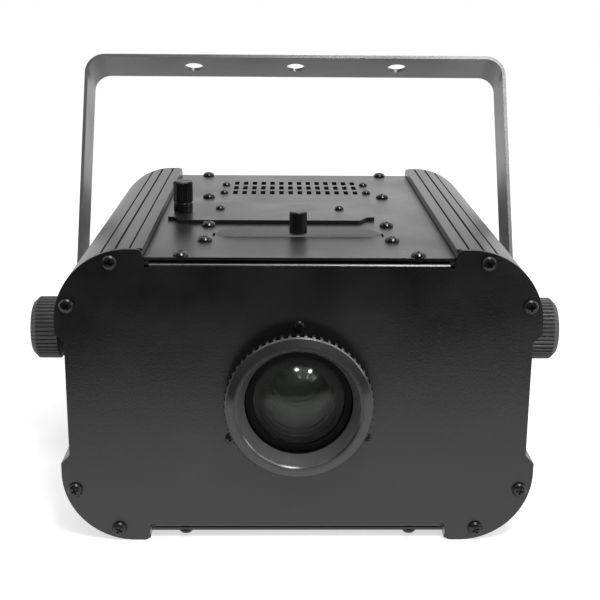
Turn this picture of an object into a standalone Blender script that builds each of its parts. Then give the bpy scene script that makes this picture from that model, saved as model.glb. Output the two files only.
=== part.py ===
"""Gobo projector: a sheet-metal lamp housing with grooved corner rails, a focusing lens, a lift-out
gobo holder, an LED light engine with a fan, and a flat-bar yoke with two clamp knobs.

Metres, +Z up, front towards -Y. The world origin is on the resting surface, under the middle of the
housing. Pieces are modelled in the housing frame: x across, depth back from the front panel's face,
and height above the middle of the housing.
"""
import math

import bmesh
import bpy
from mathutils import Matrix, Vector

MM = 0.001
PART = "gobo_projector"

# Fits
GAP = 0.3 * MM
SLIDE_PLAY = 0.5 * MM

# Housing
HALF_WIDTH = 120 * MM
HALF_HEIGHT = 77 * MM
HOUSING_DEPTH = 242 * MM
CORNER_RADIUS = 37 * MM
CROWN_FLAT = 7 * MM
LOBE_FILLET = 3 * MM
END_CHAMFER = 4.4 * MM
COVER_DROP = 4.4 * MM
PANEL = 2.0 * MM
COVER = 1.6 * MM
REAR_FITTING_PROUD = 4.0 * MM

# End panel flanges
FLANGE_SIDE_GAP = 3 * MM
FLANGE_LENGTH = 14 * MM
FLANGE_BEND = 1.5 * MM
FLANGE_CLEARANCE = 1.2 * MM
FLANGE_ROOT = 2.2 * MM
RELIEF_WIDTH = 1.4 * MM

# Corner rails
RAIL_SKIN = 3.8 * MM
RAIL_LIP = 3.8 * MM
LEDGE_REACH = 8 * MM
LEDGE = 2 * MM
WALL_LAP = 3 * MM
GROOVE_STEP_DEG = 11.1
GROOVE_FIRST_DEG = 91.4
GROOVES_DEG = [GROOVE_FIRST_DEG - GROOVE_STEP_DEG * step for step in range(3)]
GROOVES_DEG += [90 - angle_deg for angle_deg in reversed(GROOVES_DEG)]
GROOVE_WIDTH = 1.2 * MM
GROOVE_DEPTH = 1.5 * MM
BOSS_ORBIT = 31.6 * MM
BOSS_RADIUS = 3.7 * MM
BOSS_BORE = 1.7 * MM
BOSS_ANGLES_DEG = (16, 74)

# Panel screws
SCREW_HEAD_RADIUS = 3.7 * MM
SCREW_HEAD_HEIGHT = 2.4 * MM
SCREW_SHANK_RADIUS = 1.35 * MM
SCREW_LENGTH = 10 * MM
SCREW_HOLE_RADIUS = 1.9 * MM
LENS_SCREW_HEAD_RADIUS = 2.5 * MM
LENS_SCREW_HEAD_HEIGHT = 1.8 * MM
LENS_SCREW_SHANK_RADIUS = 1.1 * MM
LENS_SCREW_LENGTH = 7 * MM
LENS_SCREW_HOLE_RADIUS = 1.5 * MM
LENS_SCREW_ORBIT = 39.75 * MM

# Vents in the covers
VENT_COLUMNS = 14
VENT_ROWS = 3
VENT_WIDTH = 2.9 * MM
VENT_LENGTH = 11.5 * MM
VENT_PITCH_X = 5.78 * MM
VENT_PITCH_DEPTH = 16.5 * MM
VENT_REAR_MARGIN = 50.5 * MM
INTAKE_COLUMNS = 8
INTAKE_PITCH_X = 11.0 * MM
INTAKE_WIDTH = 3.6 * MM

# Optical axis and projection lens
AXIS_HEIGHT = -0.8 * MM
BARREL_RADIUS = 26.7 * MM
BARREL_FRONT = -0.3 * MM
BARREL_LENGTH = 38.3 * MM
BARREL_PLAY = 0.4 * MM
SLEEVE_WALL = 3.2 * MM
SLEEVE_FRONT = -2.3 * MM
SLEEVE_REAR = 16 * MM
MOUNT_FLANGE_RADIUS = 44 * MM
MOUNT_FLANGE = 2.5 * MM
RING_PLAY = 0.6 * MM
RING_NECK_WALL = 2.1 * MM
RING_TEETH = 60
RING_TOOTH_RADIUS = 37.2 * MM
RING_ROOT_RADIUS = 36.4 * MM
RING_BAND_REAR = -5.3 * MM
RING_BAND_FRONT = -9.7 * MM
RING_FACE_RADIUS = 36.3 * MM
RING_FACE = -10.2 * MM
RING_CREST_RADIUS = 30.8 * MM
RING_CREST = -12.2 * MM
FRONT_LENS_RADIUS = 22.9 * MM
FRONT_LENS_EDGE = 3.0 * MM
FRONT_LENS_BULGE = 5.6 * MM
REAR_LENS_RADIUS = 17.2 * MM
REAR_LENS_EDGE = 3.0 * MM
REAR_LENS_BULGE = 3.0 * MM
REAR_LENS_DEPTH = 31 * MM

# Gobo holder, its gate and the pull knob
HOLDER_HALF = 43.9 * MM
HOLDER_DROP = 33.4 * MM
TAB_RISE = 3.2 * MM
TAB_SHOULDER = 19 * MM
LEAF_DEPTH = 54.5 * MM
LEAF = 1.8 * MM
FRAME_LEAF = 4.4 * MM
LEAF_SPLIT = 0.8 * MM
LEAF_SPLIT_HEIGHT = 6 * MM
GOBO_RADIUS = 18.75 * MM
GOBO = 0.5 * MM
GOBO_APERTURE = 14.5 * MM
GOBO_DOTS = 8
GOBO_DOT_RADIUS = 1.9 * MM
GOBO_DOT_ORBIT = 9.5 * MM
GOBO_HUB_RADIUS = 3.2 * MM
SPRING_WIRE = 0.6 * MM
SPRING_OPEN_DEG = 40
PULL_KNOB_RADIUS = 4.7 * MM
PULL_KNOB_HEIGHT = 11.6 * MM
PULL_KNOB_DEPTH = 57.3 * MM
GATE_HALF = 52 * MM
GATE_WALL = 2.0 * MM
GATE_APERTURE = 17 * MM
GATE_SILL = 6 * MM
GATE_FLANGE = 1.8 * MM
GATE_FLANGE_FRONT = 33 * MM
GATE_FLANGE_REAR = 80 * MM

# Condenser and light engine
CONDENSER_RADIUS = 31 * MM
CONDENSER_WALL = 3 * MM
CONDENSER_FRONT = 72 * MM
CONDENSER_FLANGE_RADIUS = 40 * MM
CONDENSER_FLANGE = 2 * MM
CONDENSER_LENS_EDGE = 3 * MM
CONDENSER_LENS_BULGE = 9 * MM
CONDENSER_LIP = 2 * MM
REAR_CONDENSER_SETBACK = 11 * MM
BULKHEAD = 2 * MM
BULKHEAD_SIDE_GAP = 14 * MM
BULKHEAD_FLANGE = 14 * MM
BOARD_HALF = 22 * MM
BOARD = 1.6 * MM
BOARD_CLEARANCE = 3 * MM
EMITTER_RADIUS = 10 * MM
EMITTER = 1.0 * MM
SINK_HALF = 48 * MM
SINK_BASE = 6 * MM
SINK_LENGTH = 52 * MM
SINK_FINS = 12
SINK_FIN = 2 * MM
FAN_STANDOFF = 10.4 * MM
FAN_HALF = 40 * MM
FAN_THICKNESS = 25 * MM
FAN_BORE = 37.5 * MM
FAN_CORNER = 4 * MM
FAN_HUB_RADIUS = 17 * MM
FAN_BLADES = 7
FAN_BLADE_TIP = 36.3 * MM
FAN_BLADE = 1.4 * MM
FAN_BLADE_PITCH_DEG = 38
FAN_MOTOR_PLATE = 3 * MM
SUPPLY_SIDE_GAP = 16 * MM
SUPPLY_REAR_GAP = 6 * MM
SUPPLY_LENGTH = 78 * MM
SUPPLY_HEIGHT = 25 * MM

# Rear fittings
GRILLE_RADII = (13.5 * MM, 22.5 * MM, 31.5 * MM)
GRILLE_SLOT = 5.4 * MM
GRILLE_SPOKE = 3.4 * MM
FITTING_INSET = 5 * MM
FITTING_HEIGHT = -22 * MM
INLET_HALF_WIDTH = 13.5 * MM
INLET_HALF_HEIGHT = 9.7 * MM
INLET_FLANGE_HALF = 22 * MM
INLET_FLANGE = 2.5 * MM
INLET_BODY = 24 * MM
INLET_WELL = 15 * MM
SWITCH_HALF_WIDTH = 6.6 * MM
SWITCH_HALF_HEIGHT = 10.6 * MM
SWITCH_BEZEL = 2.0 * MM
SWITCH_BODY = 16 * MM
ROCKER_TILT_DEG = 8

# Control cover and dimmer
CONTROL_MARGIN = 4 * MM
CONTROL_WIDTH = 115.2 * MM
CONTROL_FRONT = 81 * MM
CONTROL_REAR = 133 * MM
CONTROL_CORNER = 10 * MM
DIMMER_INSET = 7.6 * MM
DIMMER_DEPTH = 104.4 * MM
DIMMER_RADIUS = 5.5 * MM
DIMMER_HEIGHT = 17.3 * MM
DIMMER_COLLAR_HEIGHT = 5.4 * MM
DIMMER_SHAFT_RADIUS = 2.4 * MM
DIMMER_BUSH_RADIUS = 3.5 * MM
DIMMER_BUSH_RISE = 1.8 * MM
DIMMER_CASE_HALF = 6 * MM
DIMMER_CASE_HEIGHT = 7.5 * MM

# Yoke and clamps
PIVOT_DEPTH = 123 * MM
YOKE_SIDE_GAP = 8 * MM
YOKE_REACH = 169 * MM
YOKE_BAR = 30 * MM
YOKE_THICKNESS = 2.0 * MM
YOKE_BEND = 12 * MM
YOKE_TILT_DEG = 27.75
YOKE_HOLE_RADIUS = 5.9 * MM
YOKE_HOLE_SPACING = 64 * MM
STUD_RADIUS = 3.9 * MM
STUD_INNER_REACH = 8 * MM
SPACER_RADIUS = 11 * MM
WASHER_RADIUS = 15 * MM
WASHER = 1.2 * MM
HUB_RADIUS = 17.2 * MM
HUB_LENGTH = 8.2 * MM
GRIP_RADIUS = 18.5 * MM
GRIP_LENGTH = 15.9 * MM
GRIP_CHAMFER = 2.7 * MM
GRIP_DOME = 0.3 * MM
GRIP_TEETH = 46
GRIP_TOOTH = 0.7 * MM
NUT_HALF = 15 * MM
NUT = 4 * MM

# Places that follow from the sizes above
CORNER_X = HALF_WIDTH - CORNER_RADIUS
CORNER_HEIGHT = HALF_HEIGHT - CORNER_RADIUS
LIP_X = CORNER_X - CROWN_FLAT
FLANGE_HALF = LIP_X - FLANGE_SIDE_GAP
CONTROL_LEFT = -(LIP_X - CONTROL_MARGIN)
CONTROL_RIGHT = CONTROL_LEFT + CONTROL_WIDTH
DIMMER_X = CONTROL_LEFT + DIMMER_INSET
SWITCH_X = CORNER_X - FITTING_INSET
INLET_X = -SWITCH_X
LIP_HEIGHT = CORNER_HEIGHT - CROWN_FLAT
COVER_TOP = HALF_HEIGHT - COVER_DROP
COVER_UNDER = COVER_TOP - COVER
WALL_OUTER = HALF_WIDTH - COVER_DROP
WALL_INNER = WALL_OUTER - COVER
WALL_END = LIP_HEIGHT + COVER_DROP - END_CHAMFER - WALL_LAP
FLANGE_TOP = COVER_UNDER - FLANGE_CLEARANCE
INNER_FRONT = PANEL + GAP
INNER_REAR = HOUSING_DEPTH - PANEL - GAP
FAN_FRONT = INNER_REAR - FAN_THICKNESS
SINK_FRONT = FAN_FRONT - FAN_STANDOFF - SINK_LENGTH
BULKHEAD_DEPTH = SINK_FRONT - GAP - BULKHEAD
BULKHEAD_HALF = LIP_X - BULKHEAD_SIDE_GAP
REAR_CONDENSER_DEPTH = BULKHEAD_DEPTH - REAR_CONDENSER_SETBACK
SUPPLY_HALF = LIP_X - SUPPLY_SIDE_GAP
SUPPLY_FRONT = BULKHEAD_DEPTH - SUPPLY_REAR_GAP - SUPPLY_LENGTH
VENT_MIDDLE_DEPTH = HOUSING_DEPTH - VENT_REAR_MARGIN
SLEEVE_BORE = BARREL_RADIUS + BARREL_PLAY
SLEEVE_RADIUS = SLEEVE_BORE + SLEEVE_WALL
RING_BORE = SLEEVE_RADIUS + RING_PLAY
PANEL_BORE = SLEEVE_RADIUS + RING_PLAY
HOLDER_BOTTOM = AXIS_HEIGHT - HOLDER_DROP
HOLDER_TOP = COVER_TOP + TAB_RISE
FRAME_DEPTH = LEAF_DEPTH - LEAF_SPLIT - FRAME_LEAF
HOLDER_REAR = LEAF_DEPTH + LEAF
GATE_FRONT = FRAME_DEPTH - SLIDE_PLAY
GATE_REAR = HOLDER_REAR + SLIDE_PLAY
GATE_TOP = COVER_UNDER - GAP
CONTROL_TOP = COVER_TOP + GAP + COVER
REAR_FACE = HOUSING_DEPTH
YOKE_HALF = HALF_WIDTH + YOKE_SIDE_GAP + YOKE_THICKNESS
SPACER_END = YOKE_HALF - YOKE_THICKNESS - GAP
HUB_START = YOKE_HALF + GAP + WASHER + GAP
GRIP_START = HUB_START + HUB_LENGTH
GRIP_END = GRIP_START + GRIP_LENGTH
FRONT_Y = -(HOUSING_DEPTH + REAR_FITTING_PROUD + RING_CREST) / 2

FINISHES = {
    "powder_coat": ((0.030, 0.030, 0.031), 0.50, 0.0),
    "anodised_rail": ((0.050, 0.050, 0.051), 0.42, 0.6),
    "yoke_coat": ((0.085, 0.085, 0.086), 0.48, 0.0),
    "black_plastic": ((0.022, 0.022, 0.023), 0.42, 0.0),
    "grey_plastic": ((0.060, 0.060, 0.062), 0.50, 0.0),
    "black_screw": ((0.025, 0.025, 0.026), 0.30, 0.8),
    "bright_steel": ((0.50, 0.50, 0.50), 0.30, 1.0),
    "aluminium": ((0.62, 0.63, 0.64), 0.38, 1.0),
    "lens_glass": ((0.80, 0.86, 0.82), 0.03, 0.0),
    "board_white": ((0.75, 0.75, 0.72), 0.50, 0.0),
    "emitter": ((0.85, 0.66, 0.10), 0.40, 0.0),
    "rubber": ((0.020, 0.020, 0.020), 0.80, 0.0),
}


def clear_scene():
    for obj in list(bpy.data.objects):
        bpy.data.objects.remove(obj, do_unlink=True)
    for mesh in list(bpy.data.meshes):
        bpy.data.meshes.remove(mesh)


def new_collection(name):
    collection = bpy.data.collections.new(name)
    bpy.context.scene.collection.children.link(collection)
    return collection


def material_for(name, finish):
    colour, roughness, metallic = FINISHES[finish]
    material = bpy.data.materials.new(name + "_" + finish)
    material.use_nodes = True
    shader = material.node_tree.nodes["Principled BSDF"]
    shader.inputs["Base Color"].default_value = (*colour, 1.0)
    shader.inputs["Roughness"].default_value = roughness
    shader.inputs["Metallic"].default_value = metallic
    return material


def frame_empty(name, parent, location=(0, 0, 0), turn_x_deg=0.0):
    """An empty that carries the pieces of one moving group on its axis."""
    empty = bpy.data.objects.new(name, None)
    PARTS.objects.link(empty)
    empty.empty_display_size = 0.02
    empty.location = location
    empty.rotation_euler = (math.radians(turn_x_deg), 0, 0)
    empty.parent = parent
    return empty


def add_part(name, mesh, parent, finish, smooth_deg=35):
    """Name a finished mesh, give it its material and hang it on its frame."""
    obj = bpy.data.objects.new(name, mesh)
    mesh.name = name
    mesh.materials.clear()
    mesh.materials.append(material_for(name, finish))
    mesh.shade_smooth()
    mesh.set_sharp_from_angle(angle=math.radians(smooth_deg))
    PARTS.objects.link(obj)
    obj.parent = parent
    return obj


def mesh_from(bm, name="work"):
    bmesh.ops.recalc_face_normals(bm, faces=bm.faces)
    mesh = bpy.data.meshes.new(name)
    bm.to_mesh(mesh)
    bm.free()
    return mesh


def box(low, high):
    """A mesh block between two corners."""
    bm = bmesh.new()
    bmesh.ops.create_cube(bm, size=1.0)
    size = [b - a for a, b in zip(low, high)]
    middle = [(a + b) / 2 for a, b in zip(low, high)]
    bmesh.ops.scale(bm, vec=size, verts=bm.verts)
    bmesh.ops.translate(bm, vec=middle, verts=bm.verts)
    return mesh_from(bm)


def rod(radius, start, end, segments=24):
    """A mesh cylinder from one point to another."""
    start = Vector(start)
    end = Vector(end)
    bm = bmesh.new()
    bmesh.ops.create_cone(bm, cap_ends=True, segments=segments, radius1=radius, radius2=radius,
                          depth=(end - start).length)
    turn = Vector((0, 0, 1)).rotation_difference(end - start).to_matrix().to_4x4()
    bmesh.ops.transform(bm, matrix=Matrix.Translation((start + end) / 2) @ turn, verts=bm.verts)
    return mesh_from(bm)


def evaluated_mesh(obj):
    """The object's mesh with its modifiers or curve settings applied; the object is removed."""
    depsgraph = bpy.context.evaluated_depsgraph_get()
    depsgraph.update()
    mesh = bpy.data.meshes.new_from_object(obj.evaluated_get(depsgraph))
    mesh.transform(obj.matrix_world)
    bpy.data.objects.remove(obj, do_unlink=True)
    return mesh


def welded(mesh):
    bm = bmesh.new()
    bm.from_mesh(mesh)
    bmesh.ops.remove_doubles(bm, verts=bm.verts, dist=0.002 * MM)
    return mesh_from(bm)


def boolean(mesh, others, operation):
    """Join other meshes to a mesh, or cut them out of it."""
    base = bpy.data.objects.new("work", mesh)
    WORK.objects.link(base)
    operands = []
    for other in others:
        operand = bpy.data.objects.new("operand", other)
        operand.display_type = "WIRE"
        operand.hide_render = True
        WORK.objects.link(operand)
        operands.append(operand)
        modifier = base.modifiers.new(operation.lower(), "BOOLEAN")
        modifier.operation = operation
        modifier.solver = "EXACT"
        modifier.object = operand
    result = evaluated_mesh(base)
    for operand in operands:
        bpy.data.objects.remove(operand, do_unlink=True)
    return welded(result)


def joined(mesh, *others):
    return boolean(mesh, others, "UNION")


def cut(mesh, *others):
    return boolean(mesh, others, "DIFFERENCE")


def turned(profile, closed=True, steps=32, turn=None):
    """Turn a profile of (radius, along) points about local Z, then place it with a matrix.

    The points run down the outer side first. A closed profile makes a ring; an open one starts and
    ends on the axis.
    """
    bm = bmesh.new()
    corners = [bm.verts.new((radius, 0, along)) for radius, along in profile]
    for first, second in zip(corners, corners[1:]):
        bm.edges.new((first, second))
    if closed:
        bm.edges.new((corners[-1], corners[0]))
    mesh = bpy.data.meshes.new("profile")
    bm.to_mesh(mesh)
    bm.free()
    obj = bpy.data.objects.new("profile", mesh)
    WORK.objects.link(obj)
    screw = obj.modifiers.new("turn", "SCREW")
    screw.steps = steps
    screw.render_steps = steps
    screw.use_merge_vertices = True
    screw.merge_threshold = 0.002 * MM
    result = welded(evaluated_mesh(obj))
    if turn is not None:
        result.transform(turn)
    return result


def outline(loops, low, high, plane):
    """A flat plate between two levels: the first loop is its outline, the others are holes.

    plane names the axes that the loops' two numbers run along: "xz", "xy" or "yz".
    """
    curve = bpy.data.curves.new("outline", "CURVE")
    curve.dimensions = "2D"
    curve.fill_mode = "BOTH"
    curve.extrude = (high - low) / 2
    for loop in loops:
        spline = curve.splines.new("POLY")
        spline.points.add(len(loop) - 1)
        for point, (across, up) in zip(spline.points, loop):
            point.co = (across, up, 0, 1)
        spline.use_cyclic_u = True
    obj = bpy.data.objects.new("outline", curve)
    WORK.objects.link(obj)
    mesh = evaluated_mesh(obj)
    bpy.data.curves.remove(curve)
    middle = (low + high) / 2
    axes = {
        "xy": ((1, 0, 0), (0, 1, 0), (0, 0, 1)),
        "xz": ((1, 0, 0), (0, 0, 1), (0, -1, 0)),
        "yz": ((0, 1, 0), (0, 0, 1), (1, 0, 0)),
    }[plane]
    shift = {"xy": (0, 0, middle), "xz": (0, middle, 0), "yz": (middle, 0, 0)}[plane]
    turn = Matrix(axes).transposed().to_4x4()
    mesh.transform(Matrix.Translation(shift) @ turn)
    return welded(mesh)


def arc(centre, radius, start_deg, end_deg, count):
    """Points along an arc, both ends included."""
    points = []
    for index in range(count + 1):
        angle = math.radians(start_deg + (end_deg - start_deg) * index / count)
        points.append((centre[0] + radius * math.cos(angle), centre[1] + radius * math.sin(angle)))
    return points


def circle(centre, radius, count=24):
    return arc(centre, radius, 0, 360, count)[:-1]


def rectangle(centre, half_width, half_height):
    x, y = centre
    return [(x - half_width, y - half_height), (x + half_width, y - half_height),
            (x + half_width, y + half_height), (x - half_width, y + half_height)]


def rounded_rectangle(low, high, radius, count=5):
    return (arc((high[0] - radius, high[1] - radius), radius, 0, 90, count)
            + arc((low[0] + radius, high[1] - radius), radius, 90, 180, count)
            + arc((low[0] + radius, low[1] + radius), radius, 180, 270, count)
            + arc((high[0] - radius, low[1] + radius), radius, 270, 360, count))


def mirrored_four(quadrant):
    """A closed outline from its upper right quarter, listed from the top round to the right side."""
    right = quadrant + [(x, -z) for x, z in reversed(quadrant)]
    return right + [(-x, z) for x, z in reversed(right)]


def facing_front(x=0.0, height=0.0):
    """Stand local +Z towards the front; the along values are then minus the depth."""
    return Matrix.Translation((x, 0, height)) @ Matrix.Rotation(math.radians(90), 4, "X")


def facing_side(side):
    return Matrix.Rotation(math.radians(90 * side), 4, "Y")


def front_profile(points):
    """Turn (radius, depth) points into (radius, along) points for facing_front."""
    return [(radius, -depth) for radius, depth in points]


def dome(radius, edge_along, bulge, count):
    """Points from the axis to the rim of a dome that stands bulge above its rim."""
    sphere = (radius * radius + bulge * bulge) / (2 * bulge)
    half_angle = math.asin(radius / sphere)
    points = []
    for index in range(count + 1):
        angle = half_angle * index / count
        points.append((sphere * math.sin(angle), edge_along + bulge - sphere * (1 - math.cos(angle))))
    return points


def panel_quadrant():
    """The lobed end panel's upper right quarter, from beside the top flange to the side recess."""
    root = FLANGE_TOP - FLANGE_ROOT
    points = [(FLANGE_HALF + 0.4 * MM, root), (FLANGE_HALF + 0.4 * MM + RELIEF_WIDTH, root)]
    points += [(LIP_X, root + RELIEF_WIDTH)]
    points += arc((LIP_X + LOBE_FILLET, HALF_HEIGHT - LOBE_FILLET), LOBE_FILLET, 180, 90, 4)
    points += arc((CORNER_X, CORNER_HEIGHT), CORNER_RADIUS, 90, 0, 14)
    points += [(HALF_WIDTH, WALL_END + END_CHAMFER), (WALL_OUTER, WALL_END)]
    return points


def screw_places():
    """The eight panel screws, on the bosses of the corner rails."""
    places = []
    for side in (-1, 1):
        for level in (1, -1):
            for angle_deg in BOSS_ANGLES_DEG:
                angle = math.radians(angle_deg)
                x = CORNER_X + BOSS_ORBIT * math.cos(angle)
                height = CORNER_HEIGHT + BOSS_ORBIT * math.sin(angle)
                places.append((side * x, level * height))
    return places


def lens_screw_places():
    places = []
    for angle_deg in (90, 210, 330):
        angle = math.radians(angle_deg)
        x = LENS_SCREW_ORBIT * math.cos(angle)
        places.append((x, AXIS_HEIGHT + LENS_SCREW_ORBIT * math.sin(angle)))
    return places


def flange_strip(level, front):
    """The bent edge of an end panel: level is 1 at the top and -1 at the bottom."""
    top = FLANGE_TOP
    low = top - FLANGE_ROOT - 1.5 * MM
    inner_bend = 0.5 * MM
    points = [(0, low)]
    points += arc((FLANGE_BEND, top - FLANGE_BEND), FLANGE_BEND, 180, 90, 4)
    points += [(FLANGE_LENGTH, top), (FLANGE_LENGTH, top - PANEL)]
    points += arc((PANEL + inner_bend, top - PANEL - inner_bend), inner_bend, 90, 180, 2)
    points += [(PANEL, low)]
    placed = []
    for depth, height in points:
        if not front:
            depth = HOUSING_DEPTH - depth
        placed.append((depth, level * height))
    return outline([placed], -FLANGE_HALF, FLANGE_HALF, "yz")


def end_panel(front, holes):
    low = 0.0 if front else HOUSING_DEPTH - PANEL
    plate = outline([mirrored_four(panel_quadrant())] + holes, low, low + PANEL, "xz")
    return joined(plate, flange_strip(1, front), flange_strip(-1, front))


def build_front_panel():
    holes = [circle(place, SCREW_HOLE_RADIUS, 12) for place in screw_places()]
    holes += [circle(place, LENS_SCREW_HOLE_RADIUS, 10) for place in lens_screw_places()]
    holes.append(circle((0, AXIS_HEIGHT), PANEL_BORE, 48))
    add_part("front_panel", end_panel(True, holes), HOUSING, "powder_coat")


def grille_slots():
    """Arc slots in rings, with a spoke left between neighbours."""
    slots = []
    for radius in GRILLE_RADII:
        inner = radius - GRILLE_SLOT / 2
        outer = radius + GRILLE_SLOT / 2
        half_spoke_in = math.degrees(GRILLE_SPOKE / 2 / inner)
        half_spoke_out = math.degrees(GRILLE_SPOKE / 2 / outer)
        for quarter in range(4):
            start = 45 + 90 * quarter
            loop = arc((0, AXIS_HEIGHT), outer, start + half_spoke_out, start + 90 - half_spoke_out, 7)
            loop += arc((0, AXIS_HEIGHT), inner, start + 90 - half_spoke_in, start + half_spoke_in, 7)
            slots.append(loop)
    return slots


def build_rear_panel():
    holes = grille_slots()
    holes.append(rectangle((INLET_X, FITTING_HEIGHT), INLET_HALF_WIDTH + GAP, INLET_HALF_HEIGHT + GAP))
    holes.append(rectangle((SWITCH_X, FITTING_HEIGHT), SWITCH_HALF_WIDTH + GAP,
                           SWITCH_HALF_HEIGHT + GAP))
    add_part("rear_panel", end_panel(False, holes), HOUSING, "powder_coat")


def rail_inner_radius(angle_deg):
    """The rail's inner face, drawn in round each screw boss."""
    radius = CORNER_RADIUS - RAIL_SKIN
    for boss_deg in BOSS_ANGLES_DEG:
        off = math.radians(angle_deg - boss_deg)
        across = BOSS_ORBIT * math.sin(off)
        if abs(across) < BOSS_RADIUS:
            near = BOSS_ORBIT * math.cos(off) - math.sqrt(BOSS_RADIUS ** 2 - across ** 2)
            radius = min(radius, near)
    return radius


def rail_skin_point(angle_deg, sunk):
    """A point of a rail's outer skin, or sunk under it; past the quarter circle the skin runs on straight."""
    radius = CORNER_RADIUS - sunk
    angle = math.radians(min(90, max(0, angle_deg)))
    inward = math.radians(max(0, angle_deg - 90)) * CORNER_RADIUS
    down = math.radians(max(0, -angle_deg)) * CORNER_RADIUS
    return CORNER_X + radius * math.cos(angle) - inward, CORNER_HEIGHT + radius * math.sin(angle) - down


def rail_section():
    """The upper right rail's outline, clockwise from the lip beside the top cover."""
    centre = (CORNER_X, CORNER_HEIGHT)
    inner = CORNER_RADIUS - RAIL_SKIN
    points = [(LIP_X, HALF_HEIGHT)]
    half = math.degrees(GROOVE_WIDTH / 2 / CORNER_RADIUS)
    for middle, following in zip(GROOVES_DEG, GROOVES_DEG[1:] + [None]):
        corners = [(middle + half, 0), (middle + half, GROOVE_DEPTH), (middle - half, GROOVE_DEPTH),
                   (middle - half, 0)]
        if following is not None:
            strips = round(2 * (middle - following) / GROOVE_STEP_DEG)
            for step in range(1, strips):
                corners.append((middle + (following - middle) * step / strips, 0))
        points += [rail_skin_point(*corner) for corner in corners]
    ledge_x = WALL_INNER - GAP
    ledge_height = COVER_UNDER - GAP
    web_x = CORNER_X - (LIP_X + RAIL_LIP)
    points += [(HALF_WIDTH, WALL_END + END_CHAMFER), (WALL_OUTER, WALL_END)]
    points += [(ledge_x, WALL_END), (ledge_x, WALL_END - LEDGE_REACH)]
    points += [(ledge_x - LEDGE, WALL_END - LEDGE_REACH), (ledge_x - LEDGE, CORNER_HEIGHT - web_x)]
    points += [(CORNER_X + inner, CORNER_HEIGHT - web_x)]
    for step in range(0, 31):
        angle_deg = 3 * step
        radius = rail_inner_radius(angle_deg)
        angle = math.radians(angle_deg)
        points.append((centre[0] + radius * math.cos(angle), centre[1] + radius * math.sin(angle)))
    points += [(CORNER_X - web_x, CORNER_HEIGHT + inner), (CORNER_X - web_x, ledge_height - LEDGE)]
    points += [(FLANGE_HALF + GAP, ledge_height - LEDGE), (FLANGE_HALF + GAP, ledge_height)]
    points += [(LIP_X, ledge_height)]
    return points


def build_corner_rails():
    section = rail_section()
    bores = []
    for angle_deg in BOSS_ANGLES_DEG:
        angle = math.radians(angle_deg)
        bores.append(circle((CORNER_X + BOSS_ORBIT * math.cos(angle),
                             CORNER_HEIGHT + BOSS_ORBIT * math.sin(angle)), BOSS_BORE, 12))
    for side, side_name in ((-1, "left"), (1, "right")):
        for level, level_name in ((1, "top"), (-1, "bottom")):
            loops = [[(side * x, level * z) for x, z in loop] for loop in [section] + bores]
            mesh = outline(loops, INNER_FRONT, INNER_REAR, "xz")
            add_part("corner_rail_" + level_name + "_" + side_name, mesh, HOUSING, "anodised_rail")


def vent_slots(columns, pitch, width):
    slots = []
    for column in range(columns):
        x = (column - (columns - 1) / 2) * pitch
        for row in range(VENT_ROWS):
            depth = VENT_MIDDLE_DEPTH + (row - (VENT_ROWS - 1) / 2) * VENT_PITCH_DEPTH
            slots.append(rectangle((x, depth), width / 2, VENT_LENGTH / 2))
    return slots


def cover_outline():
    half = LIP_X - GAP
    return [(-half, INNER_FRONT), (half, INNER_FRONT), (half, INNER_REAR), (-half, INNER_REAR)]


def build_top_cover():
    loops = [cover_outline()] + vent_slots(VENT_COLUMNS, VENT_PITCH_X, VENT_WIDTH)
    slot_middle = (GATE_FRONT + GATE_REAR) / 2
    slot_half = (GATE_REAR - GATE_FRONT) / 2 + GAP
    loops.append(rectangle((0, slot_middle), HOLDER_HALF + 2 * SLIDE_PLAY, slot_half))
    loops.append(circle((DIMMER_X, DIMMER_DEPTH), DIMMER_BUSH_RADIUS + GAP, 16))
    add_part("top_cover", outline(loops, COVER_UNDER, COVER_TOP, "xy"), HOUSING, "powder_coat")


def build_bottom_cover():
    loops = [cover_outline()] + vent_slots(INTAKE_COLUMNS, INTAKE_PITCH_X, INTAKE_WIDTH)
    add_part("bottom_cover", outline(loops, -COVER_TOP, -COVER_UNDER, "xy"), HOUSING, "powder_coat")


def build_side_panels():
    half = WALL_END - GAP
    edge = [(INNER_FRONT, -half), (INNER_REAR, -half), (INNER_REAR, half), (INNER_FRONT, half)]
    hole = circle((PIVOT_DEPTH, 0), STUD_RADIUS + 2 * GAP, 20)
    for side, name in ((-1, "left"), (1, "right")):
        low, high = sorted((side * WALL_INNER, side * WALL_OUTER))
        add_part("side_panel_" + name, outline([edge, hole], low, high, "yz"), HOUSING, "powder_coat")


def build_control_cover():
    edge = rounded_rectangle((CONTROL_LEFT, CONTROL_FRONT), (CONTROL_RIGHT, CONTROL_REAR), CONTROL_CORNER)
    hole = circle((DIMMER_X, DIMMER_DEPTH), DIMMER_BUSH_RADIUS + GAP, 16)
    mesh = outline([edge, hole], CONTROL_TOP - COVER, CONTROL_TOP, "xy")
    add_part("control_cover", mesh, HOUSING, "powder_coat")


def pan_head_screw(head_radius, head_height, shank_radius, length, x, height):
    """A pan-head screw whose head stands just off the front panel's face."""
    seat = -GAP
    profile = [(0, seat - head_height), (0.62 * head_radius, seat - head_height),
               (0.92 * head_radius, seat - 0.70 * head_height), (head_radius, seat - 0.30 * head_height),
               (head_radius, seat), (shank_radius, seat), (shank_radius, length), (0, length)]
    return turned(front_profile(profile), closed=False, steps=12, turn=facing_front(x, height))


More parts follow.
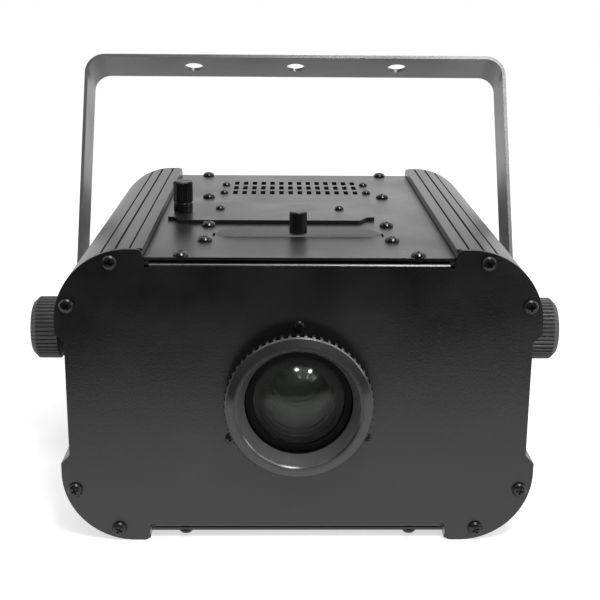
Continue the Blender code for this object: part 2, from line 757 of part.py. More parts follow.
def build_screws():
    names = ("left_top_outer", "left_top_inner", "left_bottom_outer", "left_bottom_inner",
             "right_top_outer", "right_top_inner", "right_bottom_outer", "right_bottom_inner")
    for name, (x, height) in zip(names, screw_places()):
        mesh = pan_head_screw(SCREW_HEAD_RADIUS, SCREW_HEAD_HEIGHT, SCREW_SHANK_RADIUS, SCREW_LENGTH,
                              x, height)
        add_part("panel_screw_" + name, mesh, HOUSING, "black_screw")
    for name, (x, height) in zip(("top", "left", "right"), lens_screw_places()):
        mesh = pan_head_screw(LENS_SCREW_HEAD_RADIUS, LENS_SCREW_HEAD_HEIGHT, LENS_SCREW_SHANK_RADIUS,
                              LENS_SCREW_LENGTH, x, height)
        add_part("lens_screw_" + name, mesh, HOUSING, "black_screw")


def build_lens_mount():
    flange_front = INNER_FRONT
    flange_rear = flange_front + MOUNT_FLANGE
    profile = [(SLEEVE_RADIUS, SLEEVE_FRONT), (SLEEVE_RADIUS, flange_front),
               (MOUNT_FLANGE_RADIUS, flange_front), (MOUNT_FLANGE_RADIUS, flange_rear),
               (SLEEVE_RADIUS, flange_rear), (SLEEVE_RADIUS, SLEEVE_REAR),
               (SLEEVE_BORE, SLEEVE_REAR), (SLEEVE_BORE, SLEEVE_FRONT)]
    mesh = turned(front_profile(profile), steps=48, turn=facing_front(0, AXIS_HEIGHT))
    drills = []
    for x, height in lens_screw_places():
        drills.append(rod(LENS_SCREW_HOLE_RADIUS, (x, flange_front - 1 * MM, height),
                          (x, flange_rear + 1 * MM, height), 10))
    add_part("lens_mount", cut(mesh, *drills), HOUSING, "black_plastic")


def build_focus_ring():
    web = SLEEVE_FRONT - GAP
    profile = [(RING_CREST_RADIUS, RING_CREST), (RING_FACE_RADIUS, RING_FACE),
               (RING_TOOTH_RADIUS, RING_BAND_FRONT), (RING_TOOTH_RADIUS, RING_BAND_REAR),
               (RING_BORE + RING_NECK_WALL, RING_BAND_REAR),
               (RING_BORE + RING_NECK_WALL, -RING_PLAY), (RING_BORE, -RING_PLAY), (RING_BORE, web),
               (SLEEVE_BORE, web), (SLEEVE_BORE, web - 0.4 * MM)]
    mesh = turned(front_profile(profile), steps=2 * RING_TEETH, turn=facing_front())
    cut_teeth(mesh, RING_TEETH, RING_TOOTH_RADIUS, RING_ROOT_RADIUS, "y")
    add_part("focus_ring", mesh, FOCUS_AXIS, "black_plastic", 25)


def cut_teeth(mesh, teeth, outer, root, axis):
    """Draw every second column of a turned rim in to the root radius."""
    for vertex in mesh.vertices:
        x, y, z = vertex.co
        across, up = (x, z) if axis == "y" else (y, z)
        radius = math.hypot(across, up)
        if abs(radius - outer) > 0.01 * MM:
            continue
        column = round(math.atan2(up, across) / (math.pi / teeth))
        if column % 2:
            scale = root / outer
            if axis == "y":
                vertex.co = (x * scale, y, z * scale)
            else:
                vertex.co = (x, y * scale, z * scale)


def build_lens_barrel():
    rear = BARREL_FRONT + BARREL_LENGTH
    front_seat = BARREL_FRONT + 1.2 * MM + FRONT_LENS_EDGE + GAP
    front_bore = FRONT_LENS_RADIUS + GAP
    rear_bore = REAR_LENS_RADIUS + GAP
    step = REAR_LENS_DEPTH - REAR_LENS_BULGE - 2 * MM
    profile = [(BARREL_RADIUS, BARREL_FRONT), (BARREL_RADIUS, rear), (rear_bore, rear),
               (rear_bore, step), (front_bore - 1.4 * MM, step - 4 * MM),
               (front_bore - 1.4 * MM, front_seat), (front_bore, front_seat),
               (front_bore, BARREL_FRONT)]
    add_part("lens_barrel", turned(front_profile(profile), steps=48, turn=facing_front()), FOCUS_AXIS,
             "black_plastic")


def lens_between(radius, front_depth, front_bulge, rear_depth, rear_bulge, steps):
    """A lens from its front rim to its rear rim; a bulge of 0 leaves that side flat."""
    points = []
    if front_bulge:
        points += [(r, -front_depth + along) for r, along in dome(radius, 0, front_bulge, 4)]
    else:
        points += [(0, -front_depth), (radius, -front_depth)]
    if rear_bulge:
        points += [(r, -rear_depth - along) for r, along in reversed(dome(radius, 0, rear_bulge, 4))]
    else:
        points += [(radius, -rear_depth), (0, -rear_depth)]
    return turned(points, closed=False, steps=steps, turn=facing_front())


def build_projection_lenses():
    front_rim = BARREL_FRONT + 1.2 * MM
    mesh = lens_between(FRONT_LENS_RADIUS, front_rim, FRONT_LENS_BULGE, front_rim + FRONT_LENS_EDGE, 0, 32)
    add_part("front_lens", mesh, FOCUS_AXIS, "lens_glass")
    mesh = lens_between(REAR_LENS_RADIUS, REAR_LENS_DEPTH, REAR_LENS_BULGE,
                        REAR_LENS_DEPTH + REAR_LENS_EDGE, 0, 24)
    add_part("rear_lens", mesh, FOCUS_AXIS, "lens_glass")


def build_gobo_gate():
    front_wall = (GATE_FRONT - GATE_WALL, GATE_FRONT)
    rear_wall = (GATE_REAR, GATE_REAR + GATE_WALL)
    bottom = HOLDER_BOTTOM - GAP - GATE_SILL
    top = GATE_TOP
    channel = HOLDER_HALF + SLIDE_PLAY
    edge = [(-GATE_HALF, bottom), (GATE_HALF, bottom), (GATE_HALF, top), (-GATE_HALF, top)]
    aperture = circle((0, AXIS_HEIGHT), GATE_APERTURE, 24)
    mesh = outline([edge, aperture], front_wall[0], front_wall[1], "xz")
    rear = outline([edge, aperture], rear_wall[0], rear_wall[1], "xz")
    sill = HOLDER_BOTTOM - GAP
    overlap = 0.5 * MM
    u_frame = [(-GATE_HALF, bottom), (GATE_HALF, bottom), (GATE_HALF, top), (channel, top),
               (channel, sill), (-channel, sill), (-channel, top), (-GATE_HALF, top)]
    middle = outline([u_frame], front_wall[1] - overlap, rear_wall[0] + overlap, "xz")
    front_flange = box((-GATE_HALF, GATE_FLANGE_FRONT, top - GATE_FLANGE),
                       (GATE_HALF, front_wall[1] - overlap, top))
    rear_flange = box((-GATE_HALF, rear_wall[0] + overlap, top - GATE_FLANGE),
                      (GATE_HALF, GATE_FLANGE_REAR, top))
    add_part("gobo_gate", joined(mesh, middle, rear, front_flange, rear_flange), HOUSING, "powder_coat")


def build_gobo_holder():
    """A tall rear leaf with a thicker front leaf whose pocket takes the gobo."""
    shoulder_x = HOLDER_HALF - 10.7 * MM
    end_deg = math.degrees(math.acos((HOLDER_HALF - shoulder_x) / TAB_SHOULDER))
    right = arc((shoulder_x, HOLDER_TOP - TAB_SHOULDER), TAB_SHOULDER, end_deg, 90, 5)
    leaf_edge = [(HOLDER_HALF, HOLDER_BOTTOM)] + right
    leaf_edge += [(-x, z) for x, z in reversed(right)] + [(-HOLDER_HALF, HOLDER_BOTTOM)]
    window = circle((0, AXIS_HEIGHT), GOBO_APERTURE, 32)
    pocket = circle((0, AXIS_HEIGHT), GOBO_RADIUS + GAP, 32)
    leaf = outline([leaf_edge, window], LEAF_DEPTH, HOLDER_REAR, "xz")
    frame_top = COVER_TOP - GAP
    frame_middle = (HOLDER_BOTTOM + frame_top) / 2
    frame_half = (frame_top - HOLDER_BOTTOM) / 2
    frame_edge = rectangle((0, frame_middle), HOLDER_HALF, frame_half)
    frame = outline([frame_edge, pocket], FRAME_DEPTH, FRAME_DEPTH + FRAME_LEAF, "xz")
    web_top = frame_top - LEAF_SPLIT_HEIGHT
    web_edge = rectangle((0, (HOLDER_BOTTOM + web_top) / 2), HOLDER_HALF, (web_top - HOLDER_BOTTOM) / 2)
    overlap = 0.2 * MM
    web = outline([web_edge, window], FRAME_DEPTH + FRAME_LEAF - overlap, LEAF_DEPTH + overlap, "xz")
    add_part("gobo_holder", joined(leaf, web, frame), GOBO_SLIDE, "bright_steel")


def build_gobo():
    """A steel disc with a ring of round openings and a middle one, and the spring that holds it."""
    disc_front = FRAME_DEPTH + FRAME_LEAF - 0.2 * MM - GAP - GOBO
    loops = [circle((0, AXIS_HEIGHT), GOBO_RADIUS, 40), circle((0, AXIS_HEIGHT), GOBO_HUB_RADIUS, 12)]
    for index in range(GOBO_DOTS):
        angle = 2 * math.pi * index / GOBO_DOTS
        middle = (GOBO_DOT_ORBIT * math.cos(angle), AXIS_HEIGHT + GOBO_DOT_ORBIT * math.sin(angle))
        loops.append(circle(middle, GOBO_DOT_RADIUS, 10))
    add_part("gobo_disc", outline(loops, disc_front, disc_front + GOBO, "xz"), GOBO_SLIDE, "bright_steel")
    orbit = GOBO_RADIUS - SPRING_WIRE
    curve = bpy.data.curves.new("spring", "CURVE")
    curve.dimensions = "3D"
    curve.bevel_depth = SPRING_WIRE
    curve.bevel_resolution = 1
    curve.use_fill_caps = True
    path = arc((0, AXIS_HEIGHT), orbit, SPRING_OPEN_DEG / 2 - 90, 270 - SPRING_OPEN_DEG / 2, 30)
    spline = curve.splines.new("POLY")
    spline.points.add(len(path) - 1)
    for point, (x, z) in zip(spline.points, path):
        point.co = (x, disc_front - GAP - SPRING_WIRE, z, 1)
    obj = bpy.data.objects.new("spring", curve)
    WORK.objects.link(obj)
    mesh = welded(evaluated_mesh(obj))
    bpy.data.curves.remove(curve)
    add_part("gobo_spring_ring", mesh, GOBO_SLIDE, "bright_steel")


def build_pull_knob():
    base = COVER_TOP + GAP
    top = base + PULL_KNOB_HEIGHT
    edge = 0.5 * MM
    profile = [(0, top), (PULL_KNOB_RADIUS - edge, top), (PULL_KNOB_RADIUS, top - edge),
               (PULL_KNOB_RADIUS, base), (0, base)]
    mesh = turned(profile, closed=False, steps=24, turn=Matrix.Translation((0, PULL_KNOB_DEPTH, 0)))
    slot = box((-2 * PULL_KNOB_RADIUS, LEAF_DEPTH - GAP, base - 1 * MM),
               (2 * PULL_KNOB_RADIUS, HOLDER_REAR + GAP, HOLDER_TOP + GAP))
    add_part("gobo_pull_knob", cut(mesh, slot), GOBO_SLIDE, "black_plastic")


def build_condenser():
    bore = CONDENSER_RADIUS - CONDENSER_WALL
    flange_rear = BULKHEAD_DEPTH - GAP
    flange_front = flange_rear - CONDENSER_FLANGE
    lip_bore = bore - CONDENSER_WALL
    profile = [(CONDENSER_RADIUS, CONDENSER_FRONT), (CONDENSER_RADIUS, flange_front),
               (CONDENSER_FLANGE_RADIUS, flange_front), (CONDENSER_FLANGE_RADIUS, flange_rear),
               (bore, flange_rear), (bore, CONDENSER_FRONT + CONDENSER_LIP),
               (lip_bore, CONDENSER_FRONT + CONDENSER_LIP), (lip_bore, CONDENSER_FRONT)]
    add_part("condenser_tube", turned(front_profile(profile), steps=36, turn=facing_front()), OPTICS,
             "black_plastic")
    radius = bore - GAP
    front = CONDENSER_FRONT + CONDENSER_LIP + GAP
    mesh = lens_between(radius, front, 0, front + CONDENSER_LENS_EDGE, CONDENSER_LENS_BULGE, 24)
    add_part("condenser_lens_front", mesh, OPTICS, "lens_glass")
    rear = REAR_CONDENSER_DEPTH
    mesh = lens_between(radius, rear - CONDENSER_LENS_EDGE, CONDENSER_LENS_BULGE, rear, 0, 24)
    add_part("condenser_lens_rear", mesh, OPTICS, "lens_glass")


def build_light_engine():
    rear = BULKHEAD_DEPTH + BULKHEAD
    top = GATE_TOP
    edge = rectangle((0, 0), BULKHEAD_HALF, top)
    window = rectangle((0, AXIS_HEIGHT), BOARD_HALF + BOARD_CLEARANCE, BOARD_HALF + BOARD_CLEARANCE)
    plate = outline([edge, window], BULKHEAD_DEPTH, rear, "xz")
    flanges = []
    for level in (1, -1):
        low, high = sorted((level * (top - BULKHEAD), level * top))
        flanges.append(box((-BULKHEAD_HALF, rear - 0.5 * MM, low),
                           (BULKHEAD_HALF, rear + BULKHEAD_FLANGE, high)))
    add_part("led_bulkhead", joined(plate, *flanges), HOUSING, "aluminium")

    comb = [(-SINK_HALF, SINK_FRONT), (SINK_HALF, SINK_FRONT)]
    pitch = (2 * SINK_HALF - SINK_FIN) / (SINK_FINS - 1)
    for index in range(SINK_FINS):
        right = SINK_HALF - index * pitch
        comb += [(right, SINK_FRONT + SINK_LENGTH), (right - SINK_FIN, SINK_FRONT + SINK_LENGTH)]
        if index < SINK_FINS - 1:
            comb += [(right - SINK_FIN, SINK_FRONT + SINK_BASE), (right - pitch, SINK_FRONT + SINK_BASE)]
    mesh = outline([comb], AXIS_HEIGHT - SINK_HALF, AXIS_HEIGHT + SINK_HALF, "xy")
    add_part("heat_sink", mesh, HOUSING, "aluminium")

    board_rear = SINK_FRONT - GAP
    board_front = board_rear - BOARD
    mesh = outline([rectangle((0, 0), BOARD_HALF, BOARD_HALF)], board_front, board_rear, "xz")
    add_part("led_board", mesh, OPTICS, "board_white")
    emitter_rear = board_front - GAP
    mesh = rod(EMITTER_RADIUS, (0, emitter_rear - EMITTER, 0), (0, emitter_rear, 0), 24)
    add_part("led_emitter", mesh, OPTICS, "emitter")


def build_fan():
    """A square fan frame with its motor plate at the back, and a bladed rotor on the optical axis."""
    rear = INNER_REAR
    front = FAN_FRONT
    edge = rounded_rectangle((-FAN_HALF, -FAN_HALF), (FAN_HALF, FAN_HALF), FAN_CORNER, 3)
    body = outline([edge, circle((0, 0), FAN_BORE, 40)], front, rear, "xz")
    plate_front = rear - FAN_MOTOR_PLATE
    plate = rod(FAN_HUB_RADIUS - 1 * MM, (0, plate_front, 0), (0, rear - 0.2 * MM, 0), 24)
    struts = []
    for index in range(4):
        angle = math.radians(45 + 90 * index)
        strut = box((FAN_HUB_RADIUS - 4 * MM, plate_front + 0.3 * MM, -1.6 * MM),
                    (FAN_BORE + 1.5 * MM, rear - 0.5 * MM, 1.6 * MM))
        strut.transform(Matrix.Rotation(angle, 4, "Y"))
        struts.append(strut)
    add_part("fan_frame", joined(body, plate, *struts), OPTICS, "black_plastic")

    hub_front = front + 2 * MM
    hub_rear = plate_front - GAP
    hub = rod(FAN_HUB_RADIUS, (0, hub_front, 0), (0, hub_rear, 0), 28)
    blade_middle = (hub_front + hub_rear) / 2
    chord = (hub_rear - hub_front) * 0.8
    blades = []
    for index in range(FAN_BLADES):
        blade = box((-chord / 2, -FAN_BLADE / 2, FAN_HUB_RADIUS - 2.5 * MM),
                    (chord / 2, FAN_BLADE / 2, FAN_BLADE_TIP - 2 * MM))
        blade.transform(Matrix.Rotation(math.radians(FAN_BLADE_PITCH_DEG), 4, "Z"))
        blade.transform(Matrix.Translation((0, blade_middle, 0)))
        blade.transform(Matrix.Rotation(2 * math.pi * index / FAN_BLADES, 4, "Y"))
        blades.append(blade)
    add_part("fan_rotor", joined(hub, *blades), OPTICS, "black_plastic")


def build_power_supply():
    floor = -COVER_UNDER + GAP
    mesh = box((-SUPPLY_HALF, SUPPLY_FRONT, floor),
               (SUPPLY_HALF, SUPPLY_FRONT + SUPPLY_LENGTH, floor + SUPPLY_HEIGHT))
    bm = bmesh.new()
    bm.from_mesh(mesh)
    bmesh.ops.bevel(bm, geom=list(bm.edges), offset=1.2 * MM, segments=1, affect="EDGES")
    add_part("led_power_supply", mesh_from(bm), HOUSING, "aluminium")


def build_mains_inlet():
    """A three-pin appliance inlet: flange, body, well and pins in one moulding."""
    seat = REAR_FACE + GAP
    face = seat + INLET_FLANGE
    rim = HOUSING_DEPTH + REAR_FITTING_PROUD
    flange_half_height = INLET_HALF_HEIGHT + 2 * MM
    flange_edge = rounded_rectangle((INLET_X - INLET_FLANGE_HALF, FITTING_HEIGHT - flange_half_height),
                                    (INLET_X + INLET_FLANGE_HALF, FITTING_HEIGHT + flange_half_height),
                                    3 * MM, 3)
    flange = outline([flange_edge], seat, face, "xz")
    body = box((INLET_X - INLET_HALF_WIDTH, seat - INLET_BODY, FITTING_HEIGHT - INLET_HALF_HEIGHT),
               (INLET_X + INLET_HALF_WIDTH, rim, FITTING_HEIGHT + INLET_HALF_HEIGHT))
    wall = 1.6 * MM
    well_floor = rim - INLET_WELL
    well = box((INLET_X - INLET_HALF_WIDTH + wall, well_floor, FITTING_HEIGHT - INLET_HALF_HEIGHT + wall),
               (INLET_X + INLET_HALF_WIDTH - wall, rim + 1 * MM, FITTING_HEIGHT + INLET_HALF_HEIGHT - wall))
    shell = cut(joined(flange, body), well)
    pins = []
    for x, height in ((-6.5 * MM, -1.5 * MM), (0, 2.5 * MM), (6.5 * MM, -1.5 * MM)):
        pins.append(box((INLET_X + x - 1 * MM, well_floor - 1 * MM, FITTING_HEIGHT + height - 2 * MM),
                        (INLET_X + x + 1 * MM, rim - 3 * MM, FITTING_HEIGHT + height + 2 * MM)))
    add_part("mains_inlet", joined(shell, *pins), HOUSING, "black_plastic")


def build_power_switch():
    """A rocker in its frame; the rocker tips about a level axis at the panel's face."""
    seat = REAR_FACE + GAP
    rim = 1.8 * MM
    bezel_edge = rectangle((SWITCH_X, FITTING_HEIGHT), SWITCH_HALF_WIDTH + rim, SWITCH_HALF_HEIGHT + rim)
    bezel = outline([bezel_edge], seat, seat + SWITCH_BEZEL, "xz")
    left = SWITCH_X - SWITCH_HALF_WIDTH
    right = SWITCH_X + SWITCH_HALF_WIDTH
    bottom = FITTING_HEIGHT - SWITCH_HALF_HEIGHT
    top = FITTING_HEIGHT + SWITCH_HALF_HEIGHT
    body = box((left, seat - SWITCH_BODY, bottom), (right, seat + SWITCH_BEZEL - 0.2 * MM, top))
    wall = 1.0 * MM
    well = box((left + wall, seat - 9 * MM, bottom + wall), (right - wall, seat + 5 * MM, top - wall))
    add_part("power_switch_frame", cut(joined(bezel, body), well), HOUSING, "black_plastic")

    half_width = SWITCH_HALF_WIDTH - wall - GAP
    half_height = SWITCH_HALF_HEIGHT - wall - 0.8 * MM
    slope = math.tan(math.radians(ROCKER_TILT_DEG))
    crown = 0.6 * MM
    horn = crown + half_height * slope
    edge = [(-6 * MM, -3 * MM), (-6 * MM, 3 * MM), (-3 * MM, half_height), (horn, half_height),
            (crown, 0), (horn, -half_height), (-3 * MM, -half_height)]
    mesh = outline([edge], -half_width, half_width, "yz")
    add_part("power_switch_rocker", mesh, ROCKER_AXIS, "black_plastic")


def build_dimmer():
    """A panel potentiometer under the top cover, its shaft and its tall knob."""
    case_top = COVER_UNDER - GAP
    bush_top = CONTROL_TOP + DIMMER_BUSH_RISE
    shaft_bore = DIMMER_SHAFT_RADIUS + GAP
    case_low = case_top - DIMMER_CASE_HEIGHT
    case = box((-DIMMER_CASE_HALF, -DIMMER_CASE_HALF, case_low),
               (DIMMER_CASE_HALF, DIMMER_CASE_HALF, case_top))
    bush = rod(DIMMER_BUSH_RADIUS, (0, 0, case_top - 1 * MM), (0, 0, bush_top), 20)
    bore = rod(shaft_bore, (0, 0, case_low + 2 * MM), (0, 0, bush_top + 1 * MM), 16)
    add_part("dimmer_potentiometer", cut(joined(case, bush), bore), DIMMER_AXIS, "bright_steel")

    base = CONTROL_TOP + GAP
    top = base + DIMMER_HEIGHT
    shaft_top = top - 5 * MM
    mesh = rod(DIMMER_SHAFT_RADIUS, (0, 0, case_low + 2 * MM + GAP), (0, 0, shaft_top - GAP), 16)
    add_part("dimmer_shaft", mesh, DIMMER_AXIS, "bright_steel")

    collar = base + DIMMER_COLLAR_HEIGHT
    edge = 0.5 * MM
    relief = bush_top + GAP
    bush_clear = DIMMER_BUSH_RADIUS + GAP
    profile = [(0, top), (DIMMER_RADIUS - edge, top), (DIMMER_RADIUS, top - edge),
               (DIMMER_RADIUS, collar + 0.3 * MM), (DIMMER_RADIUS - 0.35 * MM, collar),
               (DIMMER_RADIUS - 0.15 * MM, base), (bush_clear, base), (bush_clear, relief),
               (shaft_bore, relief), (shaft_bore, shaft_top), (0, shaft_top)]
    mesh = turned(profile, closed=False, steps=24)
    pointer = box((-0.5 * MM, -2 * DIMMER_RADIUS, top - 0.8 * MM),
                  (0.5 * MM, 2 * DIMMER_RADIUS, top + 1 * MM))
    pointer.transform(Matrix.Rotation(math.radians(-60), 4, "Z"))
    add_part("dimmer_knob", cut(mesh, pointer), DIMMER_AXIS, "black_plastic")


def build_yoke():
    """A flat bar bent into a U, with round leg ends about the pivot and three fixing holes."""
    outer = YOKE_HALF
    inner = YOKE_HALF - YOKE_THICKNESS
    top = YOKE_REACH
    bend_x = outer - YOKE_BEND
    bend_height = top - YOKE_BEND
    inner_bend = YOKE_BEND - YOKE_THICKNESS
    foot = -YOKE_BAR / 2
    right_out = [(outer, foot)] + arc((bend_x, bend_height), YOKE_BEND, 0, 90, 8)
    right_in = [(inner, foot)] + arc((bend_x, bend_height), inner_bend, 0, 90, 8)
    edge = right_out + [(-x, z) for x, z in reversed(right_out)]
    edge += [(-x, z) for x, z in right_in] + [(x, z) for x, z in reversed(right_in)]
    strip = outline([edge], -YOKE_BAR / 2, YOKE_BAR / 2, "xz")
    beyond = YOKE_BAR
    corners = [(-beyond, 0)] + arc((0, 0), YOKE_BAR / 2, 180, 360, 16)
    corners += [(beyond, 0), (beyond, -beyond), (-beyond, -beyond)]
    drills = [outline([corners], -YOKE_HALF - beyond, YOKE_HALF + beyond, "yz")]
    for side in (-1, 1):
        drills.append(rod(STUD_RADIUS + GAP, (side * (inner - 2 * MM), 0, 0),
                          (side * (outer + 2 * MM), 0, 0), 20))
    for index in (-1, 0, 1):
        x = index * YOKE_HOLE_SPACING
        drills.append(rod(YOKE_HOLE_RADIUS, (x, 0, top - YOKE_THICKNESS - 2 * MM),
                          (x, 0, top + 2 * MM), 24))
    add_part("yoke_bracket", cut(strip, *drills), YOKE_AXIS, "yoke_coat")


def build_clamp(side, name, axis):
    """One side's stack: nut plate in the housing, spacer, washer, stud and grip."""
    turn = facing_side(side)
    bore = STUD_RADIUS + GAP
    nut_outer = WALL_INNER - GAP
    nut = outline([rectangle((0, 0), NUT_HALF, NUT_HALF), circle((0, 0), bore, 20)],
                  *sorted((side * (nut_outer - NUT), side * nut_outer)), "yz")
    add_part("pivot_nut_" + name, nut, PIVOT_LINE, "bright_steel")

    spacer = [(SPACER_RADIUS, SPACER_END), (SPACER_RADIUS, WALL_OUTER + GAP), (bore, WALL_OUTER + GAP),
              (bore, SPACER_END)]
    add_part("yoke_spacer_" + name, turned(spacer, steps=32, turn=turn), PIVOT_LINE, "black_plastic")

    washer = [(WASHER_RADIUS, YOKE_HALF + GAP + WASHER), (WASHER_RADIUS, YOKE_HALF + GAP),
              (bore, YOKE_HALF + GAP), (bore, YOKE_HALF + GAP + WASHER)]
    add_part("clamp_washer_" + name, turned(washer, steps=32, turn=turn), axis, "rubber")

    stud_end = GRIP_END - GRIP_CHAMFER - 4 * MM
    stud = rod(STUD_RADIUS, (side * (nut_outer - STUD_INNER_REACH), 0, 0),
               (side * (stud_end - GAP), 0, 0), 20)
    add_part("clamp_stud_" + name, stud, axis, "bright_steel")

    grip = [(0, GRIP_END + GRIP_DOME), (GRIP_RADIUS - GRIP_CHAMFER, GRIP_END),
            (GRIP_RADIUS, GRIP_END - GRIP_CHAMFER), (GRIP_RADIUS, GRIP_START), (HUB_RADIUS, GRIP_START),
            (HUB_RADIUS, HUB_START), (bore, HUB_START), (bore, stud_end), (0, stud_end)]
    mesh = turned(grip, closed=False, steps=2 * GRIP_TEETH, turn=turn)
    cut_teeth(mesh, GRIP_TEETH, GRIP_RADIUS, GRIP_RADIUS - GRIP_TOOTH, "x")
    add_part("clamp_knob_" + name, mesh, axis, "grey_plastic", 25)


clear_scene()
PARTS = new_collection(PART)
WORK = new_collection("cutters")

HOUSING = frame_empty("housing_frame", None, (0, FRONT_Y, HALF_HEIGHT))
OPTICS = frame_empty("optical_axis", HOUSING, (0, 0, AXIS_HEIGHT))
FOCUS_AXIS = frame_empty("focus_axis", HOUSING, (0, 0, AXIS_HEIGHT))
GOBO_SLIDE = frame_empty("gobo_slide", HOUSING)
DIMMER_AXIS = frame_empty("dimmer_axis", HOUSING, (DIMMER_X, DIMMER_DEPTH, 0))
ROCKER_PLACE = (SWITCH_X, REAR_FACE + GAP, FITTING_HEIGHT)
ROCKER_AXIS = frame_empty("rocker_axis", HOUSING, ROCKER_PLACE, ROCKER_TILT_DEG)
PIVOT_LINE = frame_empty("pivot_line", HOUSING, (0, PIVOT_DEPTH, 0))
YOKE_AXIS = frame_empty("yoke_axis", PIVOT_LINE, (0, 0, 0), -YOKE_TILT_DEG)
CLAMP_AXIS_LEFT = frame_empty("clamp_axis_left", PIVOT_LINE)
CLAMP_AXIS_RIGHT = frame_empty("clamp_axis_right", PIVOT_LINE)

build_front_panel()
build_rear_panel()
build_corner_rails()
build_top_cover()
build_bottom_cover()
build_side_panels()
build_control_cover()
build_screws()
build_lens_mount()
build_focus_ring()
build_lens_barrel()
build_projection_lenses()
build_gobo_gate()
build_gobo_holder()
build_gobo()
build_pull_knob()
build_condenser()
build_light_engine()
build_fan()
build_power_supply()
build_mains_inlet()
build_power_switch()
build_dimmer()
build_yoke()
build_clamp(-1, "left", CLAMP_AXIS_LEFT)
build_clamp(1, "right", CLAMP_AXIS_RIGHT)
bpy.data.collections.remove(WORK)
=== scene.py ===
"""Gobo projector: the visible pieces, their materials, the light and the camera.

Lengths are in millimetres in the housing frame (x across, depth back from the front panel's face, height
above the middle of the housing) until a mesh is placed; the scene itself is in metres.
"""

import math

import bmesh
import bpy
from mathutils import Matrix, Vector


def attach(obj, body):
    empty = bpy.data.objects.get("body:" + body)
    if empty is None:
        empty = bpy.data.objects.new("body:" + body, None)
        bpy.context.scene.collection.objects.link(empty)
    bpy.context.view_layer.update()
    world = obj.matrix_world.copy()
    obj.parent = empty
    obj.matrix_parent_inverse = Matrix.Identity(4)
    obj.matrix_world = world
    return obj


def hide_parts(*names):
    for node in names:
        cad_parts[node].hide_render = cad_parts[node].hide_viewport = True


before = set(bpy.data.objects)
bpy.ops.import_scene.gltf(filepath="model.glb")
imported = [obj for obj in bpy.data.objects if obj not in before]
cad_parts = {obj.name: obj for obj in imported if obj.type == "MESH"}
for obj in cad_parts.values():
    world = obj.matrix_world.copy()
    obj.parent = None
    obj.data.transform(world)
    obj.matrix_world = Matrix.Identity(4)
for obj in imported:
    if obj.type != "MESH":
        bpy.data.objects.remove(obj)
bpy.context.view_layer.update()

MM = 0.001
FRONT_Y = -116.9
MID_Z = 77.0
AXIS_HEIGHT = -0.8
PIVOT_DEPTH = 123.0
YOKE_TILT_DEG = 27.75

HALF_WIDTH = 120.0
HALF_HEIGHT = 77.0
DEPTH = 242.0
CORNER_RADIUS = 37.0
CORNER_X = HALF_WIDTH - CORNER_RADIUS
CORNER_H = HALF_HEIGHT - CORNER_RADIUS
LIP_X = 76.0
CHAMFER = 4.4
COVER_TOP = 72.6
COVER_UNDER = 71.0
COVER_HALF = 75.7
CONTROL_UNDER = 72.9
CONTROL_TOP = 74.5
FLANGE_TOP = 69.8
FLANGE_HALF = 73.0
WALL_OUTER = 115.6
WALL_INNER = 113.7
WALL_END = 30.0
PANEL = 2.0
GAP = 0.3
INSIDE_FRONT = PANEL + GAP
INSIDE_REAR = DEPTH - PANEL - GAP
DIMMER_X = -64.4
DIMMER_DEPTH = 104.4
INLET_X = -78.0
SWITCH_X = 78.0
FITTING_HEIGHT = -22.0

SCALE = Matrix.Scale(MM, 4)
HOUSE = Matrix.Translation((0, FRONT_Y * MM, MID_Z * MM)) @ SCALE
OPTIC = HOUSE @ Matrix.Translation((0, 0, AXIS_HEIGHT)) @ Matrix.Rotation(math.radians(90), 4, "X")
PIVOT = HOUSE @ Matrix.Translation((0, PIVOT_DEPTH, 0))
YOKE = PIVOT @ Matrix.Rotation(math.radians(-YOKE_TILT_DEG), 4, "X")

collection = bpy.context.scene.collection


# Mesh helpers

def mesh_of(bm):
    bmesh.ops.recalc_face_normals(bm, faces=bm.faces)
    mesh = bpy.data.meshes.new("work")
    bm.to_mesh(mesh)
    bm.free()
    return mesh


def weld(mesh, distance=0.001):
    bm = bmesh.new()
    bm.from_mesh(mesh)
    bmesh.ops.remove_doubles(bm, verts=bm.verts, dist=distance)
    return mesh_of(bm)


def evaluated(obj):
    depsgraph = bpy.context.evaluated_depsgraph_get()
    depsgraph.update()
    mesh = bpy.data.meshes.new_from_object(obj.evaluated_get(depsgraph))
    mesh.transform(obj.matrix_world)
    bpy.data.objects.remove(obj, do_unlink=True)
    return mesh


def box(low, high):
    bm = bmesh.new()
    bmesh.ops.create_cube(bm, size=1.0)
    bmesh.ops.scale(bm, vec=[b - a for a, b in zip(low, high)], verts=bm.verts)
    bmesh.ops.translate(bm, vec=[(a + b) / 2 for a, b in zip(low, high)], verts=bm.verts)
    return mesh_of(bm)


def rod(radius, start, end, segments=32, tip=None):
    start, end = Vector(start), Vector(end)
    bm = bmesh.new()
    bmesh.ops.create_cone(bm, cap_ends=True, segments=segments, radius1=radius,
                          radius2=radius if tip is None else tip, depth=(end - start).length)
    turn = Vector((0, 0, 1)).rotation_difference(end - start).to_matrix().to_4x4()
    bmesh.ops.transform(bm, matrix=Matrix.Translation((start + end) / 2) @ turn, verts=bm.verts)
    return mesh_of(bm)


def boolean(mesh, others, operation):
    base = bpy.data.objects.new("work", mesh)
    collection.objects.link(base)
    operands = []
    for other in others:
        operand = bpy.data.objects.new("operand", other)
        collection.objects.link(operand)
        operands.append(operand)
        modifier = base.modifiers.new("boolean", "BOOLEAN")
        modifier.operation = operation
        modifier.solver = "EXACT"
        modifier.object = operand
    result = evaluated(base)
    for operand in operands:
        bpy.data.objects.remove(operand, do_unlink=True)
    return weld(result)


def joined(mesh, *others):
    return boolean(mesh, others, "UNION")


def cut(mesh, *others):
    return boolean(mesh, others, "DIFFERENCE")


